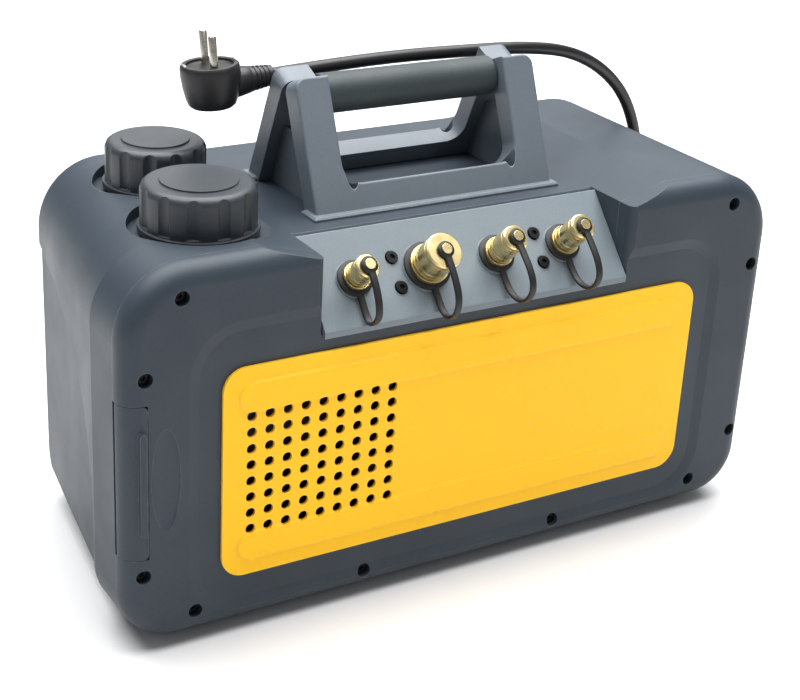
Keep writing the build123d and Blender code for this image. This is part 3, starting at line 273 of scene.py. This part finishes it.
# %% [markdown]
# ## Moulded plastics
# The case, its port plate, the caps and the handle are injection moulded ABS and nylon. The mould
# is spark eroded, so the surface has a fine even grain that scatters light. A smooth grey would
# look like a drawing, so four things are added: slow clouds in the colour, the grain as bump, edges
# that are rounded by a Bevel node, and a paler colour along those edges, which is partly rubbed
# plastic and partly a painted highlight.

# %% Edges that light can catch
ON_FACE, ON_EDGE = 0.985, 0.86            # cosines between the true normal and the rounded one


def soft_edges(tree, radius):
    """The normal as if edges were rounded, and a mask that is 1 on those edges."""
    rounded = add(tree, "ShaderNodeBevel", {"Radius": radius}, samples=4).outputs["Normal"]
    normal = add(tree, "ShaderNodeNewGeometry").outputs["Normal"]
    likeness = add(tree, "ShaderNodeVectorMath", {0: rounded, 1: normal}, operation="DOT_PRODUCT")
    mask = add(tree, "ShaderNodeMapRange",
               {"Value": likeness.outputs["Value"], "From Min": ON_FACE, "From Max": ON_EDGE,
                "To Min": 0.0, "To Max": 1.0})
    return rounded, mask.outputs["Result"]


print("the mask is full from", round(math.degrees(math.acos(ON_EDGE))), "degrees off the face")

# %% The moulded finish
CLOUD, RUB = 45 * MM, 7 * MM              # width of the colour's clouds and of rubbed patches
MOULDED_EDGE = 0.7 * MM


def moulded(name, dark, light, worn_and_highlight, roughness, grain=1.3 * MM, depth=0.05 * MM, wear_and_highlight=0.35,
            sheen=0.4):
    """A moulded plastic or rubber: clouded colour, edges paler from wear and painted highlight, a
    cast grain.
    """
    material, tree, shader, place = start_material(name, IOR=1.53, Specular_IOR_Level=sheen)
    rounded, on_edge = soft_edges(tree, MOULDED_EDGE)
    clouds = add(tree, "ShaderNodeTexNoise",
                 {"Vector": place, "Scale": 1 / CLOUD, "Detail": 6.0}).outputs[0]
    pits = add(tree, "ShaderNodeTexNoise",
               {"Vector": place, "Scale": 1 / grain, "Detail": 2.0}).outputs[0]
    speckled = add(tree, "ShaderNodeMath", {0: clouds, 1: pits}, operation="ADD").outputs[0]
    share = add(tree, "ShaderNodeMapRange",
                {"Value": speckled, "From Min": 2 * NOISE_LOW,
                 "From Max": 2 * NOISE_HIGH}).outputs["Result"]
    body = add(tree, "ShaderNodeMix", {SHARE: share, FIRST: linear(dark), SECOND: linear(light)},
               data_type="RGBA").outputs[MIXED]
    rubs = add(tree, "ShaderNodeTexNoise",
               {"Vector": place, "Scale": 1 / RUB, "Detail": 4.0}).outputs[0]
    rubbed = add(tree, "ShaderNodeMapRange",
                 {"Value": rubs, "From Min": 0.35, "From Max": NOISE_HIGH,
                  "To Min": 0.2 * wear_and_highlight, "To Max": wear_and_highlight})
    # The paler edge colour is partly rubbed plastic and partly a painted highlight along the edges.
    wear_and_highlight_share = add(tree, "ShaderNodeMath", {0: on_edge, 1: rubbed.outputs["Result"]},
                 operation="MULTIPLY").outputs[0]
    shade = add(tree, "ShaderNodeMix", {SHARE: wear_and_highlight_share, FIRST: body, SECOND: linear(worn_and_highlight)},
                data_type="RGBA")
    tree.links.new(shade.outputs[MIXED], shader.inputs["Base Color"])
    gloss = add(tree, "ShaderNodeMapRange",
                {"Value": clouds, "From Min": NOISE_LOW, "From Max": NOISE_HIGH,
                 "To Min": roughness + 0.05, "To Max": roughness - 0.05})
    tree.links.new(gloss.outputs["Result"], shader.inputs["Roughness"])
    relief = add(tree, "ShaderNodeBump",
                 {"Height": pits, "Distance": depth, "Strength": 0.6, "Normal": rounded})
    tree.links.new(relief.outputs["Normal"], shader.inputs["Normal"])
    return material


print("a cloud is", CLOUD, "m wide")

# %% Make the case's finishes
finish = {}                               # by slot
# Slate grey ABS, spark eroded: a low even sheen. The real grain is 0.3 mm, drawn at 1.3 mm to show.
# Here and in the two lighter greys below, the strong pale edge colour is partly rubbed plastic and
# partly a painted highlight.
finish["case_plastic"] = moulded("case_abs", "#2A333C", "#313A43", "#8A9298", 0.48, wear_and_highlight=0.6,
                                  sheen=0.3)
# The same ABS in a lighter grey, a little smoother where fingers wipe it.
finish["port_plate"] = moulded("port_plate_abs", "#687279", "#707B81", "#B5BCBF", 0.44, wear_and_highlight=0.6)
# Glass filled nylon for the handle: close to the case, slightly lighter.
finish["handle_plastic"] = moulded("handle_nylon", "#5A626A", "#626A72", "#BCC2C5", 0.42, wear_and_highlight=0.6)
# Charcoal polypropylene, moulded smooth for oily hands: a soft shine.
finish["cap_plastic"] = moulded("cap_polypropylene", "#2A2F34", "#33383D", "#757B80", 0.4,
                                depth=0.02 * MM)
# Black nylon tray behind the corner door: it stays dark so that the valve stands out.
finish["bay_plastic"] = moulded("bay_nylon", "#17191C", "#212427", "#4A4D50", 0.5)
print("finishes so far", len(finish))

# %% [markdown]
# ## Rubber, sheath and other black plastics
# Rubber has a duller skin than ABS and picks up dust, so its edges are only a little paler; that
# paler edge is partly rubbed wear and partly a painted highlight. The cord's sheath and plug are
# soft PVC, which keeps a faint shine along its length. The switch key is polished, and reflects
# the soft boxes.

# %% Make the dark finishes
# Thermoplastic elastomer over the grip: green black, dull, and grained for a wet hand.
finish["grip_rubber"] = moulded("grip_elastomer", "#262F31", "#2E383A", "#566062", 0.55,
                                grain=1.6 * MM, depth=0.06 * MM, wear_and_highlight=0.25)
# Nitrile rubber for straps, seals and feet: deep black with hardly any shine.
finish["black_rubber"] = moulded("black_nitrile_rubber", "#0B0B0C", "#111112", "#2E2E2F", 0.5,
                                 depth=0.02 * MM, wear_and_highlight=0.3)
# Extruded PVC sheath: smooth, with a faint line of light along the cord.
finish["cord_black"] = moulded("cord_pvc", "#101011", "#171718", "#2C2C2D", 0.38,
                               depth=0.015 * MM, wear_and_highlight=0.1)
# PVC moulded over the plug and the gland's boot: a little duller than the sheath.
finish["plug_black"] = moulded("plug_pvc", "#161617", "#1F1F20", "#444446", 0.42,
                               depth=0.03 * MM, wear_and_highlight=0.3)
# Glass filled nylon for the fan: dull, with fibres that roughen it.
finish["fan_plastic"] = moulded("fan_nylon", "#191A1C", "#232427", "#4B4D50", 0.5)
# Nylon frame of the switch: plain satin black.
finish["switch_frame"] = moulded("switch_nylon", "#141415", "#1B1B1D", "#47484A", 0.45,
                                 depth=0.01 * MM)
# Polished polycarbonate key: a mirror-like skin that picks out the soft boxes.
finish["switch_key"] = moulded("switch_polished", "#121214", "#18181A", "#3C3C40", 0.18,
                               depth=0.002 * MM)
# Carbon filled phenolic: the pump's vanes, dark brown and dry.
finish["vane_composite"] = moulded("vane_phenolic", "#2B2420", "#382F29", "#5C5048", 0.55)
# Natural polyethylene tanks: milky and waxy.
finish["tank_plastic"] = moulded("tank_polyethylene", "#CFCDBF", "#DEDCD0", "#EFEEE6", 0.36,
                                 depth=0.01 * MM, wear_and_highlight=0.2)
# Epoxy board under a green solder mask: glassy, with copper at its edges.
finish["circuit_board"] = moulded("solder_mask", "#1B4A2C", "#245C38", "#C2A15A", 0.3,
                                  depth=0.02 * MM, wear_and_highlight=0.5)
print("finishes so far", len(finish))

# %% [markdown]
# ## The yellow panel
# The vented panel is smooth polycarbonate, moulded in a warm yellow. It is glossier than the case,
# and its colour is strong enough that wear hardly shows. The long waves that a thin moulding keeps
# are a very low bump, and a film of dust in the slow clouds keeps it from looking painted.

# %% Make the yellow finish
YELLOW_EDGE, FILM, WAVE, WAVE_DEPTH = 1.1 * MM, 60 * MM, 14 * MM, 0.06 * MM
EDGE_SHARE = 0.6                          # how far an edge takes its paler colour

# Yellow polycarbonate from a polished mould: warm, glossy and a little wavy.
yellow, tree, shader, place = start_material("yellow_polycarbonate", IOR=1.58,
                                             Specular_IOR_Level=0.2)
rounded, on_edge = soft_edges(tree, YELLOW_EDGE)
film = add(tree, "ShaderNodeTexNoise",
           {"Vector": place, "Scale": 1 / FILM, "Detail": 6.0}).outputs[0]
waves = add(tree, "ShaderNodeTexNoise",
            {"Vector": place, "Scale": 1 / WAVE, "Detail": 1.0}).outputs[0]
warm = add(tree, "ShaderNodeMix",
           {SHARE: film, FIRST: linear("#FFC000"), SECOND: linear("#FFC405")},
           data_type="RGBA").outputs[MIXED]
# Painted highlight: the edges are mixed towards a paler yellow to stand for light caught on them.
painted_edge_highlight = add(tree, "ShaderNodeMath", {0: on_edge, 1: EDGE_SHARE}, operation="MULTIPLY").outputs[0]
shade = add(tree, "ShaderNodeMix", {SHARE: painted_edge_highlight, FIRST: warm, SECOND: linear("#FFE27A")},
            data_type="RGBA")
tree.links.new(shade.outputs[MIXED], shader.inputs["Base Color"])
gloss = add(tree, "ShaderNodeMapRange",
            {"Value": film, "From Min": NOISE_LOW, "From Max": NOISE_HIGH,
             "To Min": 0.24, "To Max": 0.34})
tree.links.new(gloss.outputs["Result"], shader.inputs["Roughness"])
relief = add(tree, "ShaderNodeBump",
             {"Height": waves, "Distance": WAVE_DEPTH, "Strength": 0.5, "Normal": rounded})
tree.links.new(relief.outputs["Normal"], shader.inputs["Normal"])
finish["yellow_panel"] = yellow
print("finishes so far", len(finish))

# %% [markdown]
# ## Metals
# Brass caps and fittings are turned from bar on a lathe, which leaves fine rings round their axis;
# handling browns them in patches. Castings are grainy, ground steel is streaked, and plated pins
# are smooth. One recipe covers them: a base colour, a tarnish that spreads in clouds, and lines
# cut across one axis of the piece's own coordinates, turned by a Mapping node to lie as they did
# in the machine.

# %% The metal finish
PORT_LEAN = math.radians(48)              # the ports' axis from the vertical
PATCH = 9 * MM                            # width of a patch of tarnish
METAL_EDGE = 0.3 * MM
TARNISHED = 0.4                           # how far the tarnish covers at most


def metal(name, bright, tarnish, roughness, line=0.8 * MM, depth=0.012 * MM, turn=(0, 0, 0),
          stretch=(0.02, 0.02, 1)):
    """A metal: tarnish in clouds, machining lines across the mapped Z axis, and bright edges."""
    material, tree, shader, place = start_material(name, Metallic=1.0)
    rounded, on_edge = soft_edges(tree, METAL_EDGE)
    clouds = add(tree, "ShaderNodeTexNoise",
                 {"Vector": place, "Scale": 1 / PATCH, "Detail": 6.0}).outputs[0]
    turned_place = add(tree, "ShaderNodeMapping", {"Vector": place, "Rotation": turn}).outputs[0]
    along = add(tree, "ShaderNodeMapping", {"Vector": turned_place, "Scale": stretch}).outputs[0]
    lines = add(tree, "ShaderNodeTexNoise",
                {"Vector": along, "Scale": 1 / line, "Detail": 3.0}).outputs[0]
    brown = add(tree, "ShaderNodeMapRange",
                {"Value": clouds, "From Min": 0.42, "From Max": 0.75,
                 "To Min": 0.0, "To Max": TARNISHED}).outputs["Result"]
    aged = add(tree, "ShaderNodeMix",
               {SHARE: brown, FIRST: linear(bright), SECOND: linear(tarnish)},
               data_type="RGBA").outputs[MIXED]
    rub = add(tree, "ShaderNodeMath", {0: on_edge, 1: EDGE_SHARE}, operation="MULTIPLY").outputs[0]
    shade = add(tree, "ShaderNodeMix", {SHARE: rub, FIRST: aged, SECOND: linear(bright)},
                data_type="RGBA")
    tree.links.new(shade.outputs[MIXED], shader.inputs["Base Color"])
    gloss = add(tree, "ShaderNodeMapRange",
                {"Value": lines, "From Min": NOISE_LOW, "From Max": NOISE_HIGH,
                 "To Min": roughness - 0.06, "To Max": roughness + 0.1})
    tree.links.new(gloss.outputs["Result"], shader.inputs["Roughness"])
    relief = add(tree, "ShaderNodeBump",
                 {"Height": lines, "Distance": depth, "Strength": 0.5, "Normal": rounded})
    tree.links.new(relief.outputs["Normal"], shader.inputs["Normal"])
    return material


print("ports lean", round(math.degrees(PORT_LEAN)), "degrees")

# %% Make the metals
# Free cutting brass, turned: pale gold with brown patches. Tool marks are drawn 0.8 mm apart.
finish["brass"] = metal("turned_brass", "#EBD8A0", "#A98548", 0.26, turn=(-PORT_LEAN, 0, 0))
# Zinc plated screws, blackened, and darker still as painted shade of the deep wells they sit in:
# dull and dark.
finish["screw_steel"] = metal("dark_zinc_and_painted_well_shade", "#2C2C2E", "#1C1C1D", 0.42)
# Sand cast aluminium: grains of 1.5 mm in every direction.
finish["cast_aluminium"] = metal("cast_aluminium", "#B9BABC", "#8F9193", 0.45, line=1.5 * MM,
                                 depth=0.12 * MM, stretch=(1, 1, 1))
# Ground steel plate and shafts: fine streaks, and a warm grey bloom of old oil.
finish["steel"] = metal("ground_steel", "#A7A9AC", "#7B7468", 0.34)
# Cast iron under thin grey paint: rough, and dark in its hollows.
finish["cast_iron"] = metal("painted_iron", "#4B4C4F", "#35363A", 0.55, line=1.8 * MM,
                            depth=0.15 * MM, stretch=(1, 1, 1))
# Drawn copper tube: pink and smooth, browned where it was soldered.
finish["copper"] = metal("drawn_copper", "#D99A78", "#8A5A40", 0.28)
# Nickel on brass for the plug's pins: warm, bright and nearly smooth.
finish["pin_nickel"] = metal("nickel_plate", "#D8D2C4", "#9C8C70", 0.2, depth=0.004 * MM)
print("finishes", len(finish))

# %% [markdown]
# ## New pieces
# A round moulding, such as a boot or a ring, is easiest as a lathe would make it: its outline in
# half section is spun a full turn. `turned` draws the outline, spins it and puts it in place.
# `make_piece` turns the result into an object that has its place in its mesh, rides on a body of
# the model and takes its slot's finish.

# %% A lathe for outlines
SAME_PLACE = 0.001 * MM                   # points as near as this are one point


def turned(bm, outline, at, closed=False, steps=64):
    """Spins an outline of (radius, height) in millimetres round Z, and puts it at a place."""
    verts = [bm.verts.new((radius * MM, 0, height * MM)) for radius, height in outline]
    edges = [bm.edges.new(pair) for pair in zip(verts, verts[1:])]
    if closed:
        edges.append(bm.edges.new((verts[-1], verts[0])))
    before = set(bm.verts) - set(verts)
    bmesh.ops.spin(bm, geom=verts + edges, cent=(0, 0, 0), axis=(0, 0, 1), dvec=(0, 0, 0),
                   angle=2 * math.pi, steps=steps, use_merge=True, use_duplicate=False)
    bmesh.ops.remove_doubles(bm, verts=[v for v in bm.verts if v not in before],
                             dist=SAME_PLACE)
    new = [v for v in bm.verts if v not in before]
    bmesh.ops.transform(bm, matrix=at, verts=new)
    bmesh.ops.recalc_face_normals(bm, faces=list({f for v in new for f in v.link_faces}))


print("the lathe is ready")

# %% From a bmesh to a piece


def make_piece(name, bm, body, slot, replaces=(), sharp=40):
    """Turns a bmesh into a piece that rides on a body, unless the body is left out."""
    mesh = bpy.data.meshes.new(name)
    bm.to_mesh(mesh)
    bm.free()
    mesh.shade_smooth()
    mesh.set_sharp_from_angle(angle=math.radians(sharp))
    mesh.materials.append(finish[slot])
    piece = bpy.data.objects.new(name, mesh)
    bpy.context.scene.collection.objects.link(piece)
    if replaces:
        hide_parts(*replaces)
    if body:
        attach(piece, body)
    print(name, "faces", len(mesh.polygons))
    return piece


print("make_piece is ready")

# %% Ribs for boots


def ribbed(start, end, first_r, last_r, ribs, cut):
    """Outline of a tapering boot with grooves, as (radius, distance) from start to end."""
    pitch = (end - start) / ribs
    outline = []
    for i in range(ribs):
        at = start + i * pitch
        radius = first_r + (last_r - first_r) * (i + 0.5) / ribs
        outline += [(radius, at + 0.1 * pitch), (radius, at + 0.55 * pitch),
                    (radius - cut, at + 0.65 * pitch), (radius - cut, at + pitch)]
    return outline


print("a groove starts at", ribbed(0, 1, 1, 1, 1, 0.1)[2], "of a boot 1 mm long")

# %% [markdown]
# ## The plug
# An angled plug is moulded round its pins and the end of the cord in one shot of soft PVC. The
# body is a low barrel that narrows away from the pins, with a shallow well in its face, and the
# cord leaves at its side through a ribbed boot that shares out the bending.

# %% Mould the plug
PLUG_AT = Vector((-111.5 * MM, front + 126.5 * MM, 286.5 * MM))
PLUG_LEAN = math.radians(4.5)             # to the left
BOOT_RISE = math.radians(-4.5)            # towards the cord
PIN_TURN = math.radians(83)
BARREL = [(0, -13), (9.5, -13), (12.2, -12.4), (14.0, -10.8), (15.4, -7), (16.6, -1), (17.4, 6),
          (17.5, 10), (17.1, 12), (16.3, 12.9), (15.4, 13), (14.4, 13), (13.9, 12.6), (13.7, 11.2),
          (13.2, 10.8), (0, 10.8)]
BOOT_START, BOOT_END = 8.0, 39.0          # from the plug's middle
BOOT_DROP = 0.8 * MM
LEAN_ABOUT = Vector((-0.514, -0.857, 0))  # level, and along the camera's view
upright = Matrix.Translation(PLUG_AT) @ Matrix.Rotation(PLUG_LEAN, 4, LEAN_ABOUT)
boot_at = Matrix.Translation(PLUG_AT - Vector((0, 0, BOOT_DROP)))
sideways = boot_at @ Matrix.Rotation(math.pi / 2 + BOOT_RISE, 4, "Y")

plug = bmesh.new()
turned(plug, BARREL, upright)
collar = [(0, BOOT_START), (9.2, BOOT_START), (9.2, 16), (8.6, 20), (7.9, 24)]
tip = [(5.8, BOOT_END), (5.0, BOOT_END + 0.5), (0, BOOT_END + 0.5)]
turned(plug, collar + ribbed(24, BOOT_END - 0.6, 7.8, 6.2, 5, 1.0) + tip, sideways, steps=40)
plug_shell = make_piece("plug_shell", plug, "case", "plug_black", ["plug_body"])

# %% [markdown]
# ## Pins and earth clips
# The two contact pins are turned from nickel plated brass, with rounded ends that find the holes
# of a socket. Two sprung clips in the sides of the plug carry the earth. Pins are spun; a clip is a
# small bar with softened edges, and both are set in the plug's own leaning frame.

# %% Set the pins
WELL = 10.8                               # floor of the plug's face above its middle
PIN_R, PIN_L, PIN_APART = 2.4, 20.0, 17.0
PIN = [(0, 8), (PIN_R, 8), (PIN_R, WELL + PIN_L - 1.6), (PIN_R - 0.5, WELL + PIN_L - 0.5),
       (PIN_R - 1.2, WELL + PIN_L), (0, WELL + PIN_L)]
across = upright @ Matrix.Rotation(PIN_TURN, 4, "Z")
pins = bmesh.new()
for side in (-1, 1):
    turned(pins, PIN, across @ Matrix.Translation((side * PIN_APART / 2 * MM, 0, 0)), steps=24)
contact_pins = make_piece("contact_pins", pins, "case", "pin_nickel", ["plug_pins"])

# %% Fit the plug's earth clips
CLIP_SIZE = (1.3 * MM, 7 * MM, 9 * MM)
CLIP_OUT, CLIP_UP = 15.2 * MM, 9.3 * MM   # middle of a clip from the plug's middle
clips = bmesh.new()
for side in (-1, 1):
    clip = bmesh.ops.create_cube(clips, size=1)["verts"]
    bmesh.ops.scale(clips, vec=CLIP_SIZE, verts=clip)
    bmesh.ops.translate(clips, vec=(side * CLIP_OUT, 0, CLIP_UP), verts=clip)
bmesh.ops.bevel(clips, geom=clips.edges[:], offset=0.4 * MM, segments=2, profile=0.5,
                affect="EDGES", material=-1)
bmesh.ops.transform(clips, matrix=upright @ Matrix.Rotation(PIN_TURN + math.pi / 2, 4, "Z"),
                    verts=clips.verts)
earth_clips = make_piece("plug_earth_clips", clips, "case", "pin_nickel")

# %% [markdown]
# ## The gland's boot
# Where the cord leaves the case, a nylon gland clamps it and a soft boot keeps it from kinking.
# The boot tapers to the cord over some 25 mm, with ribs cut so that it bends evenly.

# %% Mould the gland's boot
GLAND_AT = Vector((205 * MM, front + 166 * MM, 62 * MM))
SEAT = [(0, 0), (7.9, 0), (7.9, 6), (10.6, 6), (11, 6.5), (11, 11), (10.4, 12), (8.4, 12.4)]
BOOT = ribbed(13, 34, 8.2, 5.7, 6, 1.0)
TIP = [(5.4, 34.6), (4.7, 35), (0, 35)]
gland = bmesh.new()
along_x = Matrix.Translation(GLAND_AT) @ Matrix.Rotation(math.pi / 2, 4, "Y")
turned(gland, SEAT + BOOT + TIP, along_x, steps=40)
gland_boot = make_piece("gland_boot", gland, "case", "plug_black", ["cable_gland"])

# %% [markdown]
# ## The coil's tie
# A hook and loop strap holds the coil. It is a flat band pulled square round four turns, so it
# starts as a cube with four rounded edges, loses its two open ends and gets a thickness.

# %% Wrap the tie
TIE_HALF, TIE_W, TIE_T, TIE_CORNER = 8.2 * MM, 8 * MM, 0.85 * MM, 3.4 * MM
tie = bmesh.new()
bmesh.ops.create_cube(tie, size=2 * TIE_HALF)
bmesh.ops.scale(tie, vec=(TIE_W / 2 / TIE_HALF, 1, 1), verts=tie.verts)
long_edges = [e for e in tie.edges if abs(e.verts[0].co.x - e.verts[1].co.x) > TIE_W / 2]
bmesh.ops.bevel(tie, geom=long_edges, offset=TIE_CORNER, segments=6, profile=0.5,
                affect="EDGES", material=-1)
open_ends = [f for f in tie.faces if abs(f.normal.x) > 0.9]
bmesh.ops.delete(tie, geom=open_ends, context="FACES_ONLY")
bmesh.ops.solidify(tie, geom=tie.faces[:], thickness=-TIE_T)
bmesh.ops.recalc_face_normals(tie, faces=tie.faces)
tie_at = from_front([(COIL_AT[0], COIL_AT[1] + (INNER_R + OUTER_R) / 2, (LOW_Z + HIGH_Z) / 2)])[0]
bmesh.ops.translate(tie, vec=tie_at, verts=tie.verts)
coil_tie = make_piece("coil_tie", tie, "case", "black_rubber", ["cord_tie"])

# %% [markdown]
# ## The port caps' straps
# Each brass cap hangs on a strap of moulded rubber: a flat ring under the port's flange, a limp
# loop that sags in front of the case, and a small ring snapped over the cap's button. The band is
# a curve with a wide flat section, turned into a mesh and joined to two spun rings. It crosses the
# cap's joint, and it rides on no body.

# %% Measure the straps
PORT_UP = 27.5 * MM
PORT_BASE_Z = 179 * MM
BAND_T, BAND_W = 2.0, 4.4                 # millimetres
# Port: middle in X, thread radius, end of the cap, and the loop's points, up the slope and out
STRAPS = {
    "quarter": (-74.5, 5.556, 21.5, [(-9, 2.4), (-14, 1.9), (-20, 1.7), (-26, 2.0), (-29.2, 4.5),
                                     (-29.6, 10), (-28.3, 15.5), (-22, 19.8), (-13, 22.2),
                                     (-8, 22.6), (-4.2, 22.6)]),
    "half": (-26.8, 9.525, 25.5, [(-13, 2.4), (-19, 2.1), (-25, 2.1), (-31.5, 3.4), (-35.6, 9.5),
                                  (-34.8, 17), (-30, 22.8), (-23, 25.2), (-14.5, 26.4),
                                  (-8, 26.6), (-4.2, 26.6)]),
    "five_sixteenths": (20.9, 6.35, 27.0, [(-10, 2.4), (-16, 2.1), (-22, 2.3), (-28.5, 5),
                                           (-34, 10.5), (-35.4, 17.5), (-33.5, 25), (-27, 29.2),
                                           (-17, 29.6), (-9, 28.3), (-4.2, 28.1)]),
    "five_sixteenths_spare": (68.6, 6.35, 27.0, [(-10, 2.4), (-16, 2.1), (-22.5, 2.5), (-29, 5.6),
                                                 (-34.2, 11.5), (-35, 19), (-32, 25.6),
                                                 (-25.5, 28.6), (-16.5, 29.2), (-9, 28.3),
                                                 (-4.2, 28.1)]),
}
print("straps", list(STRAPS))

# %% Where a port stands


def port_place(x):
    """The frame of a port: Z is its axis, and Y runs up the slope."""
    y = front + PORT_UP * math.cos(PORT_LEAN)
    z = PORT_BASE_Z + PORT_UP * math.sin(PORT_LEAN)
    at = (x * MM, y, z)
    return Matrix.Translation(at) @ Matrix.Rotation(PORT_LEAN, 4, "X")


print("first port at", [round(v, 4) for v in port_place(STRAPS["quarter"][0]).translation])

# %% Draw a band


def band(points):
    """A flat band along points given as (Y, Z) of a port's frame, as a bmesh."""
    curve = bpy.data.curves.new("band", "CURVE")
    curve.dimensions, curve.twist_mode = "3D", "Z_UP"
    curve.bevel_depth, curve.extrude = BAND_T / 2 * MM, (BAND_W - BAND_T) / 2 * MM
    curve.bevel_resolution, curve.resolution_u, curve.use_fill_caps = 3, 5, True
    spline = curve.splines.new("NURBS")
    spline.points.add(len(points) - 1)
    for point, (y, z) in zip(spline.points, points):
        point.co = (y * MM, z * MM, 0, 1)
    spline.order_u = 4
    spline.use_endpoint_u = True
    holder = bpy.data.objects.new("band", curve)
    mesh = bpy.data.meshes.new_from_object(holder)
    bm = bmesh.new()
    bm.from_mesh(mesh)
    bpy.data.objects.remove(holder)
    bmesh.ops.remove_doubles(bm, verts=bm.verts, dist=SAME_PLACE)
    # the curve's X and Y become the port's Y and Z
    on_port = Matrix(((0, 0, 1, 0), (1, 0, 0, 0), (0, 1, 0, 0), (0, 0, 0, 1)))
    bmesh.ops.transform(bm, matrix=on_port, verts=bm.verts)
    return bm


print("a band is", BAND_W, "mm wide")

# %% Mould the straps
for port, (x, thread_r, cap_end, points) in STRAPS.items():
    at = port_place(x)
    strap = band(points)
    bmesh.ops.transform(strap, matrix=at, verts=strap.verts)
    ring_out, hole = thread_r + 5.2, thread_r - 0.6
    turned(strap, [(hole, 1.4), (ring_out - 0.6, 1.4), (ring_out, 1.9), (ring_out, 2.9),
                   (ring_out - 0.6, 3.4), (hole, 3.4)], at, closed=True, steps=48)
    low, high = cap_end + 0.1, cap_end + 2.2
    turned(strap, [(2.35, low), (4.5, low), (5, low + 0.5), (5, high - 0.5), (4.5, high),
                   (2.35, high)], at, closed=True, steps=40)
    bmesh.ops.recalc_face_normals(strap, faces=strap.faces)
    piece = make_piece("strap_" + port, strap, None, "black_rubber", ["port_strap_" + port],
                       sharp=50)
    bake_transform(piece)

# %% [markdown]
# ## Dress the model
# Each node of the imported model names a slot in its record. The finish of that slot takes the place
# of the plain colour that the node arrived with.

# %% Give each node its finish
slot_of = {row["node"]: row["material_slot"] for row in frame["record"]["subparts"]}
for name, part in frame["nodes"].items():
    slot = slot_of[name]
    part.data.materials.clear()
    part.data.materials.append(finish[slot])
print("dressed", len(frame["nodes"]))

# %% [markdown]
# ## A cord of one length
# The cord stands for three solids of the imported model: its lead, its coil and its run. It takes
# the sheath's finish and rides on the case, and the three solids are hidden.

sheath.materials.append(finish["cord_black"])
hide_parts("cord_lead", "cord_run", "cord_coil")
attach(power_cord, "case")
print("cord declared, with", len(sheath.materials), "material")
